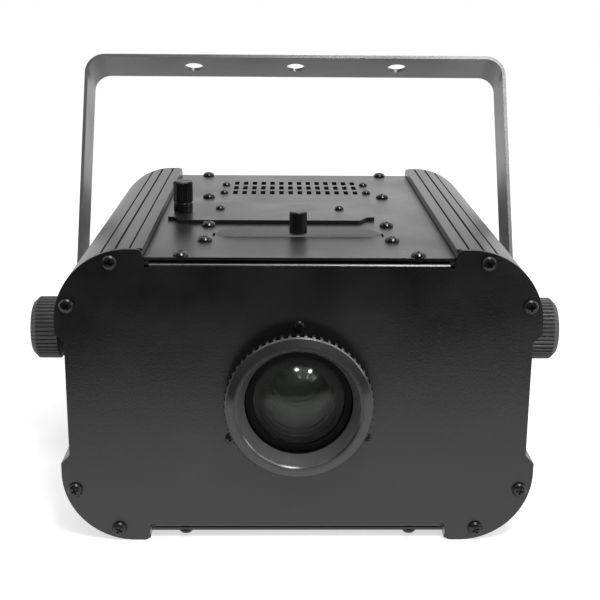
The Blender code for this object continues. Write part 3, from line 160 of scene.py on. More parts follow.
def arc(centre, radius, start_deg, end_deg, count):
    points = []
    for index in range(count + 1):
        angle = math.radians(start_deg + (end_deg - start_deg) * index / count)
        points.append((centre[0] + radius * math.cos(angle), centre[1] + radius * math.sin(angle)))
    return points


def circle(centre, radius, count=32):
    return arc(centre, radius, 0, 360, count)[:-1]


def soften(points, steps=3, closed=True):
    """Round the corners of an outline whose points are (x, y) or (x, y, radius)."""
    result = []
    count = len(points)
    for index, point in enumerate(points):
        corner = Vector(point[:2])
        radius = point[2] if len(point) > 2 else 0.0
        if radius <= 0 or (not closed and index in (0, count - 1)):
            result.append(tuple(corner))
            continue
        before = (Vector(points[index - 1][:2]) - corner).normalized()
        after = (Vector(points[(index + 1) % count][:2]) - corner).normalized()
        half = before.angle(after) / 2
        centre = corner + (before + after).normalized() * (radius / math.sin(half))
        first = corner + before * (radius / math.tan(half)) - centre
        last = corner + after * (radius / math.tan(half)) - centre
        start = math.atan2(first.y, first.x)
        sweep = math.atan2(last.y, last.x) - start
        sweep = (sweep + math.pi) % (2 * math.pi) - math.pi
        for step in range(steps + 1):
            angle = start + sweep * step / steps
            result.append((centre.x + radius * math.cos(angle), centre.y + radius * math.sin(angle)))
    return result


def rectangle(centre, half_width, half_height, radius=0.0, steps=3):
    x, y = centre
    corners = [(x - half_width, y - half_height, radius), (x + half_width, y - half_height, radius),
               (x + half_width, y + half_height, radius), (x - half_width, y + half_height, radius)]
    return soften(corners, steps)


def mirrored(points):
    """The points, then their mirror images in reverse, as one outline about x = 0."""
    return points + [(-x, y) for x, y in reversed(points)]


AXES = {
    "xy": ((1, 0, 0), (0, 1, 0), (0, 0, 1)),
    "xz": ((1, 0, 0), (0, 0, 1), (0, -1, 0)),
    "yz": ((0, 1, 0), (0, 0, 1), (1, 0, 0)),
}


def outline(loops, low, high, plane):
    """A flat plate between two levels: the first loop is its outline, the others are holes."""
    curve = bpy.data.curves.new("outline", "CURVE")
    curve.dimensions = "2D"
    curve.fill_mode = "BOTH"
    curve.extrude = (high - low) / 2
    for loop in loops:
        spline = curve.splines.new("POLY")
        spline.points.add(len(loop) - 1)
        for point, (across, up) in zip(spline.points, loop):
            point.co = (across, up, 0, 1)
        spline.use_cyclic_u = True
    obj = bpy.data.objects.new("outline", curve)
    collection.objects.link(obj)
    mesh = evaluated(obj)
    bpy.data.curves.remove(curve)
    middle = (low + high) / 2
    shift = {"xy": (0, 0, middle), "xz": (0, middle, 0), "yz": (middle, 0, 0)}[plane]
    mesh.transform(Matrix.Translation(shift) @ Matrix(AXES[plane]).transposed().to_4x4())
    return weld(mesh)


def revolve(profile, columns=64, closed=True):
    """Turn (radius, along) or (radius, along, tooth) points about local Z.

    columns is a count, or a list of (angle, lift): at lift 0 a point is drawn in by its tooth depth.
    """
    if isinstance(columns, int):
        columns = [(2 * math.pi * k / columns, 1.0) for k in range(columns)]
    bm = bmesh.new()
    rings = []
    for point in profile:
        radius, along = point[:2]
        tooth = point[2] if len(point) > 2 else 0.0
        if radius < 1e-6:
            rings.append([bm.verts.new((0, 0, along))])
            continue
        ring = []
        for angle, lift in columns:
            reach = radius - (1 - lift) * tooth
            ring.append(bm.verts.new((reach * math.cos(angle), reach * math.sin(angle), along)))
        rings.append(ring)
    pairs = list(zip(rings, rings[1:]))
    if closed:
        pairs.append((rings[-1], rings[0]))
    for first, second in pairs:
        for k in range(len(columns)):
            n = (k + 1) % len(columns)
            if len(first) == 1:
                bm.faces.new((first[0], second[k], second[n]))
            elif len(second) == 1:
                bm.faces.new((first[k], first[n], second[0]))
            else:
                bm.faces.new((first[k], first[n], second[n], second[k]))
    return mesh_of(bm)


def teeth(count, shape):
    """Columns for revolve: shape lists (share of the pitch, lift) for one tooth."""
    return [(2 * math.pi * (k + share) / count, lift) for k in range(count) for share, lift in shape]


def forward(points):
    """(radius, depth) points as (radius, along) points, with along towards the front."""
    return [(radius, -depth) for radius, depth in points]


def dome(radius, bulge, count):
    """(radius, rise) points of a spherical cap, from its top out to its rim at rise 0."""
    sphere = (radius * radius + bulge * bulge) / (2 * bulge)
    half = math.asin(radius / sphere)
    points = []
    for index in range(count + 1):
        angle = half * index / count
        points.append((sphere * math.sin(angle), bulge - sphere * (1 - math.cos(angle))))
    return points


def put(name, mesh, matrix, body, material, replaces=(), bevel=0.0, steps=2, angle=35):
    """Place a finished mesh in the scene and say what it rides on and stands for."""
    mesh.transform(matrix)
    if matrix.determinant() < 0:
        mesh.flip_normals()
    mesh.name = name
    obj = bpy.data.objects.new(name, mesh)
    collection.objects.link(obj)
    mesh.materials.clear()
    mesh.materials.append(material)
    mesh.shade_smooth()
    mesh.set_sharp_from_angle(angle=math.radians(angle))
    if bevel:
        modifier = obj.modifiers.new("edges", "BEVEL")
        modifier.width = bevel * MM
        modifier.segments = steps
        modifier.limit_method = "ANGLE"
        modifier.angle_limit = math.radians(angle)
        modifier.use_clamp_overlap = True
    weighted = obj.modifiers.new("normals", "WEIGHTED_NORMAL")
    weighted.keep_sharp = True
    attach(obj, body)
    if replaces:
        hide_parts(*replaces)
    return obj


def paint(obj, material, chosen):
    """Give a further material to the faces of a placed piece that chosen picks."""
    obj.data.materials.append(material)
    index = len(obj.data.materials) - 1
    for face in obj.data.polygons:
        if chosen(face):
            face.material_index = index


def off_axis(face):
    return math.hypot(face.center.x, face.center.z - (MID_Z + AXIS_HEIGHT) * MM) / MM


def depth_of(face):
    return face.center.y / MM - FRONT_Y


def height_of(face):
    return face.center.z / MM - MID_Z


# Shader helpers

def shader_for(name, colour, roughness, metallic=0.0, specular=0.5, **more):
    material = bpy.data.materials.new(name)
    material.use_nodes = True
    shader = material.node_tree.nodes["Principled BSDF"]
    shader.inputs["Base Color"].default_value = (*colour, 1.0)
    shader.inputs["Roughness"].default_value = roughness
    shader.inputs["Metallic"].default_value = metallic
    shader.inputs["Specular IOR Level"].default_value = specular
    for socket, value in more.items():
        shader.inputs[socket.replace("_", " ")].default_value = value
    return material, material.node_tree, shader


def noise(tree, scale, detail=2.0, roughness=0.5, stretch=None):
    coordinates = tree.nodes.new("ShaderNodeTexCoord")
    texture = tree.nodes.new("ShaderNodeTexNoise")
    texture.inputs["Scale"].default_value = scale
    texture.inputs["Detail"].default_value = detail
    texture.inputs["Roughness"].default_value = roughness
    if stretch:
        mapping = tree.nodes.new("ShaderNodeMapping")
        mapping.inputs["Scale"].default_value = stretch
        tree.links.new(coordinates.outputs["Object"], mapping.inputs["Vector"])
        tree.links.new(mapping.outputs["Vector"], texture.inputs["Vector"])
    else:
        tree.links.new(coordinates.outputs["Object"], texture.inputs["Vector"])
    return texture.outputs["Fac"]


def spread(tree, value, low, high, start=0.3, end=0.7, shape="LINEAR"):
    """Map start to end on a value to low to high."""
    node = tree.nodes.new("ShaderNodeMapRange")
    node.interpolation_type = shape
    node.inputs["From Min"].default_value = start
    node.inputs["From Max"].default_value = end
    node.inputs["To Min"].default_value = low
    node.inputs["To Max"].default_value = high
    tree.links.new(value, node.inputs["Value"])
    return node.outputs["Result"]


def tint(tree, value, dark, light, start=0.3, end=0.7):
    ramp = tree.nodes.new("ShaderNodeValToRGB")
    ramp.color_ramp.elements[0].position = start
    ramp.color_ramp.elements[1].position = end
    ramp.color_ramp.elements[0].color = (*dark, 1.0)
    ramp.color_ramp.elements[1].color = (*light, 1.0)
    tree.links.new(value, ramp.inputs["Fac"])
    return ramp.outputs["Color"]


def grey_stops(colour_socket, stops):
    """Add (position, level) stops of grey to the ramp that a colour comes from."""
    for position, level in stops:
        colour_socket.node.color_ramp.elements.new(position).color = (level, level, level, 1.0)


def calculate(tree, operation, first, second):
    """A Math node; first is a socket, second a socket or a number."""
    node = tree.nodes.new("ShaderNodeMath")
    node.operation = operation
    tree.links.new(first, node.inputs[0])
    if isinstance(second, float):
        node.inputs[1].default_value = second
    else:
        tree.links.new(second, node.inputs[1])
    return node.outputs[0]


def mix(tree, share, first, second):
    node = tree.nodes.new("ShaderNodeMixShader")
    tree.links.new(share, node.inputs["Fac"])
    tree.links.new(first, node.inputs[1])
    tree.links.new(second, node.inputs[2])
    return node.outputs[0]


def bump(tree, shader, value, distance, strength):
    node = tree.nodes.new("ShaderNodeBump")
    node.inputs["Distance"].default_value = distance * MM
    node.inputs["Strength"].default_value = strength
    tree.links.new(value, node.inputs["Height"])
    tree.links.new(node.outputs["Normal"], shader.inputs["Normal"])


# How far along the edges, and how strongly, the painted edge highlight reaches.
EDGE_REACH = 0.5
EDGE_LIFT = 0.35
EDGE_FULL = 0.85
EDGE_NONE = 0.995
EDGE_GLINT_AT = 0.98
SLOW_SCALE = 28.0
HAZE_SCALE = 60.0


def with_edge_glint(tree, value):
    """Lift a value along the edges of a piece, where the bevelled normal leaves the true one, to paint a
    highlight there.
    """
    bevel = tree.nodes.new("ShaderNodeBevel")
    bevel.samples = 4
    bevel.inputs["Radius"].default_value = EDGE_REACH * MM
    geometry = tree.nodes.new("ShaderNodeNewGeometry")
    dot = tree.nodes.new("ShaderNodeVectorMath")
    dot.operation = "DOT_PRODUCT"
    tree.links.new(bevel.outputs["Normal"], dot.inputs[0])
    tree.links.new(geometry.outputs["Normal"], dot.inputs[1])
    lift = spread(tree, dot.outputs["Value"], EDGE_LIFT, 0.0, EDGE_FULL, EDGE_NONE)
    return calculate(tree, "ADD", value, lift)


def grained(name, colour, roughness, grain, distance, strength, metallic=0.0, specular=0.5, vary=0.12,
            stretch=None, rough_vary=0.05, edge_glint=None):
    """A finish with a fine grain, a slow change of tone and gloss, and, where an edge level is given, lighter
    edges: a painted highlight.

    grain is the grain's noise scale, distance its height in mm and strength the strength of its bump.
    """
    material, tree, shader = shader_for(name, colour, roughness, metallic, specular)
    slow = noise(tree, SLOW_SCALE, detail=3.0, roughness=0.55, stretch=stretch)
    fine = noise(tree, grain, roughness=0.6, stretch=stretch)
    dark = [c * (1 - vary) for c in colour]
    light = [min(1.0, c * (1 + vary)) for c in colour]
    tone = tint(tree, with_edge_glint(tree, slow) if edge_glint else slow, dark, light)
    if edge_glint:
        grey_stops(tone, [(EDGE_GLINT_AT, edge_glint)])
    tree.links.new(tone, shader.inputs["Base Color"])
    tree.links.new(spread(tree, slow, roughness - rough_vary, roughness + rough_vary),
                   shader.inputs["Roughness"])
    bump(tree, shader, fine, distance, strength)
    return material


def glass(name, tinted, ior, clear, haze_low, haze_high):
    """Coated glass with a slight uneven haze; what isn't clear is a veil of dust."""
    material, tree, shader = shader_for(name, tinted, haze_low, IOR=ior, Transmission_Weight=clear)
    haze = noise(tree, HAZE_SCALE)
    tree.links.new(spread(tree, haze, haze_low, haze_high), shader.inputs["Roughness"])
    return material


# Materials

# Where a finish below is given a lighter edge level, that is a painted highlight along its edges.
POWDER = grained("powder_coat", (0.0068, 0.0068, 0.0069), 0.32, 1100.0, 0.10, 0.70, specular=0.84,
                 vary=0.25, edge_glint=0.030)
# A lighter, glossier copy of the powder coat for the up-facing faces of the flange bends: its lighter colour
# is a painted highlight on the bend line.
BEND_HIGHLIGHT = grained("powder_coat_bend_highlight", (0.012, 0.012, 0.0122), 0.22, 1100.0, 0.04, 0.30, specular=1.0,
               vary=0.25)
RAIL = grained("anodised_rail", (0.022, 0.022, 0.0225), 0.32, 900.0, 0.02, 0.35, specular=0.58,
               stretch=(1.0, 0.03, 1.0), edge_glint=0.060)
YOKE_COAT = grained("yoke_coat", (0.070, 0.070, 0.0705), 0.33, 1100.0, 0.08, 0.50, specular=0.8,
                    edge_glint=0.09)
BLACK_PLASTIC = grained("black_plastic", (0.006, 0.006, 0.0061), 0.26, 900.0, 0.05, 0.40, specular=0.4,
                        vary=0.25)
RING_PLASTIC = grained("ring_plastic", (0.020, 0.020, 0.0202), 0.25, 1400.0, 0.02, 0.20, specular=0.80,
                       vary=0.10)
# A lighter copy of the ring's plastic for the funnel: painted light for the light that falls into it.
FUNNEL_LIT = grained("ring_funnel_painted_light", (0.066, 0.066, 0.0665), 0.34, 1400.0, 0.02, 0.20, specular=0.7, vary=0.10)
GREY_PLASTIC = grained("grey_plastic", (0.050, 0.050, 0.051), 0.38, 1200.0, 0.04, 0.40, edge_glint=0.085)
# Matt black for the black parts, and painted shade for the focus ring's tooth valleys and the grip hubs.
MATT_BLACK_AND_SHADE = grained("matt_black_and_painted_shade", (0.003, 0.003, 0.003), 0.55, 900.0, 0.03, 0.30, specular=0.15)
INNER_BLACK = grained("inner_black", (0.008, 0.008, 0.008), 0.60, 900.0, 0.03, 0.30, specular=0.2)
RUBBER = grained("rubber", (0.018, 0.018, 0.018), 0.72, 900.0, 0.05, 0.40, specular=0.3)
SCREW_BLACK = grained("black_screw", (0.009, 0.009, 0.0092), 0.20, 1500.0, 0.012, 0.25, specular=0.6,
                      vary=0.25)
STEEL = grained("bright_steel", (0.55, 0.55, 0.56), 0.30, 700.0, 0.01, 0.25, metallic=1.0, vary=0.06,
                stretch=(1.0, 1.0, 0.08))
# Near-black for the steel gobo and its spring ring inside the housing: painted shade.
SHADED_STEEL = grained("steel_painted_shade", (0.012, 0.012, 0.012), 0.50, 700.0, 0.01, 0.25, vary=0.20)
HOLDER_STEEL = grained("holder_steel", (0.34, 0.34, 0.343), 0.55, 900.0, 0.015, 0.25, metallic=0.3,
                       vary=0.10)
# A darker, duller copy of the holder's steel for the tab's edges: painted shade that keeps them from catching
# light.
HOLDER_EDGE_SHADE = grained("holder_edge_painted_shade", (0.12, 0.12, 0.121), 0.60, 900.0, 0.015, 0.25, specular=0.1, vary=0.10)
ALUMINIUM = grained("aluminium", (0.62, 0.63, 0.64), 0.36, 600.0, 0.015, 0.25, metallic=1.0, vary=0.05,
                    stretch=(1.0, 0.06, 1.0))
BOARD = grained("board_white", (0.72, 0.72, 0.69), 0.45, 500.0, 0.02, 0.20, vary=0.04)
EMITTER = grained("emitter", (0.80, 0.60, 0.10), 0.35, 1500.0, 0.04, 0.50, vary=0.15)
FRONT_GLASS = glass("front_glass", (0.95, 0.98, 0.955), 1.22, 0.999, 0.06, 0.09)
INNER_GLASS = glass("inner_glass", (0.95, 0.98, 0.955), 1.25, 0.991, 0.06, 0.09)
REAR_GLASS = glass("rear_glass", (0.60, 0.66, 0.62), 1.15, 1.0, 0.05, 0.09)
GLASS = glass("condenser_glass", (0.45, 0.52, 0.48), 1.40, 1.0, 0.02, 0.06)

CAD_FINISH = {
    POWDER: ("side_panel_left", "side_panel_right", "gobo_gate"),
    BLACK_PLASTIC: ("lens_mount", "yoke_spacer_left", "yoke_spacer_right", "fan_frame", "fan_rotor"),
    MATT_BLACK_AND_SHADE: ("condenser_tube",),
    RUBBER: ("clamp_washer_left", "clamp_washer_right"),
    STEEL: ("clamp_stud_left", "clamp_stud_right", "pivot_nut_left", "pivot_nut_right",
            "dimmer_shaft", "dimmer_potentiometer"),
    # The gobo and its ring are painted dark for the shade inside the housing.
    SHADED_STEEL: ("gobo_disc", "gobo_spring_ring"),
    ALUMINIUM: ("heat_sink", "led_bulkhead", "led_power_supply"),
    GLASS: ("condenser_lens_front", "condenser_lens_rear"),
    BOARD: ("led_board",),
    EMITTER: ("led_emitter",),
}
for finish, names in CAD_FINISH.items():
    for name in names:
        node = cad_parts[name]
        if not node.material_slots:
            node.data.materials.append(finish)
        for entry in node.material_slots:
            entry.material = finish


# End panels

LOBE_FILLET = 3
FLANGE_ROOT = 2.2
RELIEF_START = 0.4
RELIEF = 1.4
FLANGE_BEND = 1.6
FLANGE_INNER_BEND = 0.5
FLANGE_DROP = 4.0
FLANGE_LENGTH = 14
LENS_HOLE_RADIUS = 30.9
GRILLE_RADII = (13.5, 22.5, 31.5)
GRILLE_SLOT_HALF = 2.7
GRILLE_SPOKE_HALF = 1.7
PANEL_BEVEL = 0.28


def panel_quadrant():
    root = FLANGE_TOP - FLANGE_ROOT
    relief_x = FLANGE_HALF + RELIEF_START
    points = [(relief_x, root), (relief_x + RELIEF, root), (LIP_X, root + RELIEF)]
    points += arc((LIP_X + LOBE_FILLET, HALF_HEIGHT - LOBE_FILLET), LOBE_FILLET, 180, 90, 6)
    points += arc((CORNER_X, CORNER_H), CORNER_RADIUS, 90, 0, 32)
    return points + [(HALF_WIDTH, WALL_END + CHAMFER), (WALL_OUTER, WALL_END)]


def four(quadrant):
    return mirrored(quadrant + [(x, -z) for x, z in reversed(quadrant)])


def flange(level, front):
    """The edge of an end panel that is bent inwards, at the top (level 1) or bottom (level -1)."""
    top = FLANGE_TOP
    under = top - PANEL
    points = [(0, top - FLANGE_DROP)] + arc((FLANGE_BEND, top - FLANGE_BEND), FLANGE_BEND, 180, 90, 6)
    points += [(FLANGE_LENGTH, top), (FLANGE_LENGTH, under)]
    points += arc((PANEL + FLANGE_INNER_BEND, under - FLANGE_INNER_BEND), FLANGE_INNER_BEND, 90, 180, 3)
    points += [(PANEL, top - FLANGE_DROP)]
    placed = [(depth if front else DEPTH - depth, level * height) for depth, height in points]
    return outline([placed], -FLANGE_HALF, FLANGE_HALF, "yz")


def end_panel(front, holes):
    low = 0.0 if front else DEPTH - PANEL
    plate = outline([four(panel_quadrant())] + holes, low, low + PANEL, "xz")
    return joined(plate, flange(1, front), flange(-1, front))


def grille():
    slots = []
    for radius in GRILLE_RADII:
        outer, inner = radius + GRILLE_SLOT_HALF, radius - GRILLE_SLOT_HALF
        outer_spoke = math.degrees(GRILLE_SPOKE_HALF / outer)
        inner_spoke = math.degrees(GRILLE_SPOKE_HALF / inner)
        for start in (45, 135, 225, 315):
            end = start + 90
            loop = arc((0, AXIS_HEIGHT), outer, start + outer_spoke, end - outer_spoke, 14)
            loop += arc((0, AXIS_HEIGHT), inner, end - inner_spoke, start + inner_spoke, 12)
            slots.append(loop)
    return slots


def on_flange_bend(face):
    within = abs(face.center.x) < (FLANGE_HALF + 0.1) * MM
    return abs(height_of(face)) > FLANGE_TOP - PANEL and within and face.normal.z > 0.05


lens_hole = circle((0, AXIS_HEIGHT), LENS_HOLE_RADIUS, 96)
front_sheet = put("front_sheet", end_panel(True, [lens_hole]), HOUSE, "housing", POWDER, ["front_panel"],
                  bevel=PANEL_BEVEL)
# The up-facing bend faces get the lighter copy of the powder coat: a painted highlight along the bend.
paint(front_sheet, BEND_HIGHLIGHT, on_flange_bend)
inlet_hole = rectangle((INLET_X, FITTING_HEIGHT), 13.8, 10.0)
switch_hole = rectangle((SWITCH_X, FITTING_HEIGHT), 6.9, 10.9)
put("rear_sheet", end_panel(False, grille() + [inlet_hole, switch_hole]), HOUSE, "housing", POWDER,
    ["rear_panel"], bevel=PANEL_BEVEL)


# Rails

# Each groove's angle on the rail's quarter circle, and half its width in mm.
GROOVES = ((91.4, 0.45), (80.3, 0.6), (69.2, 0.6), (20.8, 0.6), (9.7, 0.6), (-1.4, 0.6))
GROOVE_DEPTH = 1.5
SKIN_STRIP_DEG = 1.85
RAIL_SKIN = 3.8
BOSSES = ((16, "outer"), (74, "inner"))
BOSS_ORBIT = 31.6
BOSS_RADIUS = 3.7
LEDGE = 2.0
LEDGE_END = 22
FOOT_HEIGHT = 36.8
CORNER_PLACES = [(side, side_name, level, level_name) for side, side_name in ((-1, "left"), (1, "right"))
                 for level, level_name in ((1, "top"), (-1, "bottom"))]


def rail_inner(angle_deg):
    """The radius of the rail's inner face, which swells inwards around its two screw bosses."""
    radius = CORNER_RADIUS - RAIL_SKIN
    for boss_deg, _ in BOSSES:
        off = math.radians(angle_deg - boss_deg)
        across = BOSS_ORBIT * math.sin(off)
        if abs(across) < BOSS_RADIUS:
            radius = min(radius, BOSS_ORBIT * math.cos(off) - math.sqrt(BOSS_RADIUS ** 2 - across ** 2))
    return radius


def rail_point(angle_deg, radius, corner=0.0):
    """A point around the rail's corner; past the quarter circle the skin runs on straight."""
    angle = math.radians(min(90, max(0, angle_deg)))
    inward = math.radians(max(0, angle_deg - 90)) * CORNER_RADIUS
    down = math.radians(max(0, -angle_deg)) * CORNER_RADIUS
    x = CORNER_X + radius * math.cos(angle) - inward
    height = CORNER_H + radius * math.sin(angle) - down
    return x, height, corner


def rail_section():
    points = [(LIP_X, HALF_HEIGHT, 0.4)]
    skin, groove_floor = CORNER_RADIUS, CORNER_RADIUS - GROOVE_DEPTH
    for number, (middle, half_width) in enumerate(GROOVES):
        half = math.degrees(half_width / skin)
        points += [rail_point(middle + half, skin, 0.25), rail_point(middle + half, groove_floor, 0.2),
                   rail_point(middle - half, groove_floor, 0.2), rail_point(middle - half, skin, 0.25)]
        if number + 1 < len(GROOVES):
            span = GROOVES[number + 1][0] - middle
            strips = round(-span / SKIN_STRIP_DEG)
            points += [rail_point(middle + span * step / strips, skin) for step in range(1, strips)]
    points += [(HALF_WIDTH, WALL_END + CHAMFER, 0.4), (WALL_OUTER, WALL_END), (WALL_INNER, WALL_END),
               (WALL_INNER, LEDGE_END), (WALL_INNER - LEDGE, LEDGE_END), (WALL_INNER - LEDGE, FOOT_HEIGHT),
               (HALF_WIDTH - RAIL_SKIN, FOOT_HEIGHT)]
    points += [rail_point(angle_deg, rail_inner(angle_deg)) for angle_deg in range(0, 92, 2)]
    seat = COVER_UNDER - GAP
    points += [(LIP_X + RAIL_SKIN, HALF_HEIGHT - RAIL_SKIN), (LIP_X + RAIL_SKIN, seat - LEDGE),
               (FLANGE_HALF + GAP, seat - LEDGE), (FLANGE_HALF + GAP, seat), (LIP_X, seat)]
    return soften(points, 2)


section = rail_section()
for side, side_name, level, level_name in CORNER_PLACES:
    loop = [(side * x, level * z) for x, z in section]
    name = level_name + "_" + side_name
    put("rail_" + name, outline([loop], INSIDE_FRONT, INSIDE_REAR, "xz"), HOUSE, "housing", RAIL,
        ["corner_rail_" + name], angle=30)


# Covers

VENT_ROWS = 3
VENT_FRONT = 175.0
VENT_ROW_PITCH = 16.5
VENT_HALF_LENGTH = 5.75
DIMMER_HOLE_RADIUS = 3.8
COVER_BEVEL = 0.12


def vents(columns, pitch, width):
    slots = []
    for column in range(columns):
        for row in range(VENT_ROWS):
            middle = ((column - (columns - 1) / 2) * pitch, VENT_FRONT + VENT_ROW_PITCH * row)
            slots.append(rectangle(middle, width / 2, VENT_HALF_LENGTH, 0.5, 2))
    return slots


def cover(holes, low, high):
    edge = [(-COVER_HALF, INSIDE_FRONT), (COVER_HALF, INSIDE_FRONT), (COVER_HALF, INSIDE_REAR),
            (-COVER_HALF, INSIDE_REAR)]
    return outline([edge] + holes, low, high, "xy")


gobo_slot = rectangle((0, 52.8), 44.9, 4.3, 0.6, 2)
dimmer_hole = circle((DIMMER_X, DIMMER_DEPTH), DIMMER_HOLE_RADIUS, 24)
top_holes = vents(14, 5.78, 2.9) + [gobo_slot, dimmer_hole]
put("top_sheet", cover(top_holes, COVER_UNDER, COVER_TOP), HOUSE, "housing", POWDER, ["top_cover"],
    bevel=COVER_BEVEL)
put("bottom_sheet", cover(vents(8, 11.0, 3.6), -COVER_TOP, -COVER_UNDER), HOUSE, "housing", POWDER,
    ["bottom_cover"], bevel=COVER_BEVEL)

control_edge = soften([(-72, 90.5, 0.5), (-68.5, 89.5, 0.5), (-65, 81.3, 1.0), (34.5, 81.3, 1.0),
                       (38.5, 89.5, 0.5), (43.2, 90.5, 0.5), (43.2, 133, 10), (-72, 133, 10)], 6)
put("control_plate", outline([control_edge, dimmer_hole], CONTROL_UNDER, CONTROL_TOP, "xy"), HOUSE,
    "housing", POWDER, ["control_cover"], bevel=0.15)


# Screws

def screw_mesh(radius, height, recess, length):
    """A pan-head screw standing along +Z with its seat at 0 and a cross recess in its head."""
    shank = 0.36 * radius
    profile = soften([(0, height), (0.45 * radius, height * 0.985), (0.80 * radius, height * 0.80, 0.5),
                      (radius, height * 0.36, 0.35), (radius, 0.0, 0.12), (shank, 0),
                      (shank, -length), (0, -length)], 4, closed=False)
    head = revolve(profile, 48, closed=False)
    arm = recess * 0.20
    wings = []
    for turn in (0, 90):
        wing = box((-recess, -arm, height * 0.42), (recess, arm, height + 1))
        bm = bmesh.new()
        bm.from_mesh(wing)
        for vertex in bm.verts:
            if vertex.co.z < height:
                vertex.co.x *= 0.55
                vertex.co.y *= 0.75
        wing = mesh_of(bm)
        wing.transform(Matrix.Rotation(math.radians(turn), 4, "Z"))
        wings.append(wing)
    pit = rod(recess * 0.10, (0, 0, height * 0.22), (0, 0, height + 0.2), 16, recess * 0.36)
    return cut(head, joined(wings[0], wings[1]), pit)


SCREWS = {"panel": screw_mesh(3.72, 2.4, 2.35, 9.0), "lens": screw_mesh(2.5, 1.8, 1.5, 6.5),
          "small": screw_mesh(2.6, 1.9, 1.6, 5.0)}
FACING_DEG = {"front": 90, "rear": -90, "up": 0, "down": 180}
LENS_SCREW_ORBIT = 39.75
FAN_SCREW_REACH = 35.75
TOP_SCREWS = ((57.9, 236.3), (53.1, 158.3), (48.4, 75.1), (48.2, 38.6), (57.9, 5.3))
VENT_SCREWS = ((44.3, 201.0), (44.4, 173.2))
CONTROL_SCREWS = (("left", -43.9, 112.8, 15), ("right", 24.5, 113.0, 70))


def screw(name, kind, at, facing, turn_deg, replaces=()):
    """facing is the way the head looks; turn_deg turns its cross, unevenly from screw to screw."""
    stand = Matrix.Rotation(math.radians(FACING_DEG[facing]), 4, "X")
    spin = Matrix.Rotation(math.radians(turn_deg), 4, "Z")
    put(name, SCREWS[kind].copy(), HOUSE @ Matrix.Translation(at) @ stand @ spin, "housing", SCREW_BLACK,
        replaces, angle=50)


index = 0
for side, side_name, level, level_name in CORNER_PLACES:
    for boss_deg, boss_name in BOSSES:
        x = side * (CORNER_X + BOSS_ORBIT * math.cos(math.radians(boss_deg)))
        height = level * (CORNER_H + BOSS_ORBIT * math.sin(math.radians(boss_deg)))
        name = side_name + "_" + level_name + "_" + boss_name
        index += 1
        screw("front_screw_" + name, "panel", (x, -GAP, height), "front", 37 * index,
              ["panel_screw_" + name])
        screw("rear_screw_" + name, "panel", (x, DEPTH + GAP, height), "rear", 53 * index)
for name, angle_deg in (("top", 90), ("left", 210), ("right", 330)):
    x = LENS_SCREW_ORBIT * math.cos(math.radians(angle_deg))
    height = AXIS_HEIGHT + LENS_SCREW_ORBIT * math.sin(math.radians(angle_deg))
    screw("sleeve_screw_" + name, "lens", (x, -GAP, height), "front", 20 + angle_deg,
          ["lens_screw_" + name])

for number, (x, depth) in enumerate(TOP_SCREWS):
    for side, letter in ((-1, "l"), (1, "r")):
        tag = str(number) + letter
        screw("top_screw_" + tag, "panel", (side * x, depth, COVER_TOP), "up", 31 * number + 40 * side)
        if number in (0, len(TOP_SCREWS) - 1):
            screw("base_screw_" + tag, "panel", (side * x, depth, -COVER_TOP), "down",
                  47 * number + 25 * side)
for number, (x, depth) in enumerate(VENT_SCREWS):
    for side, letter in ((-1, "l"), (1, "r")):
        screw("vent_screw_" + str(number) + letter, "small", (side * x, depth, COVER_TOP), "up",
              61 * number + 35 * side)
for tag, x, depth, turn_deg in CONTROL_SCREWS:
    screw("control_screw_" + tag, "small", (x, depth, CONTROL_TOP), "up", turn_deg)
for number in range(4):
    angle = math.radians(45 + 90 * number)
    reach = FAN_SCREW_REACH * math.sqrt(2)
    at = (reach * math.cos(angle), DEPTH, AXIS_HEIGHT + reach * math.sin(angle))
    screw("fan_screw_" + str(number), "small", at, "rear", 29 * number)


# Focus ring

RING_TEETH = 60
RING_TOOTH = ((0.0, 1.0), (0.20, 1.0), (0.38, 1.0), (0.48, 0.0), (0.70, 0.0), (0.90, 0.0))
RING_TOOTH_DEPTH = 1.7
BAND_RADIUS = 36.7
BAND_FRONT = -9.63
BAND_REAR = -5.5
FUNNEL_RADIUS = 30.2
VALLEY_INNER = 35.0
VALLEY_OUTER = 36.6


def ring_mesh():
    edge = [(27.1, -2.6), (27.1, -3.0, 0.15), (30.35, -11.4, 0.3), (31.1, -12.13, 0.25),
            (32.4, -12.15, 0.12), (36.05, -10.35, 0.15), (36.68, -9.72, 0.08), (36.68, -9.62),
            (36.86, -9.6), (37.2, -9.2), (37.2, -5.3, 0.25), (36.0, -5.3), (33.0, -5.3, 0.1),
            (33.0, -0.6, 0.2), (30.9, -0.6), (30.9, -2.6)]
    toothed = []
    for radius, along in forward(soften(edge, 3)):
        toothed.append((radius, along, RING_TOOTH_DEPTH if radius > BAND_RADIUS else 0.0))
    return revolve(toothed, teeth(RING_TEETH, RING_TOOTH))


def in_funnel(face):
    return off_axis(face) < FUNNEL_RADIUS


def in_shaded_tooth_valley(face):
    return VALLEY_INNER < off_axis(face) < VALLEY_OUTER and BAND_FRONT < depth_of(face) < BAND_REAR


focus_grip = put("focus_grip", ring_mesh(), OPTIC, "focus_ring_body", RING_PLASTIC, ["focus_ring"],
                 angle=32)
# The funnel faces get the lighter copy of the ring plastic: painted light.
paint(focus_grip, FUNNEL_LIT, in_funnel)
# The valleys between the teeth are painted black: painted shade in the gaps.
paint(focus_grip, MATT_BLACK_AND_SHADE, in_shaded_tooth_valley)


# Lens barrel and lenses

STOP_RUNGS = 8
STOP_RUNG_PITCH = 1.5
BORE_RADIUS = 23.0
BORE_DEPTH = 25.0
LENS_COLUMNS = 96
LENS_RINGS = 14
MENISCUS_BACK = 0.93
MENISCUS_BACK_BULGE = 0.86


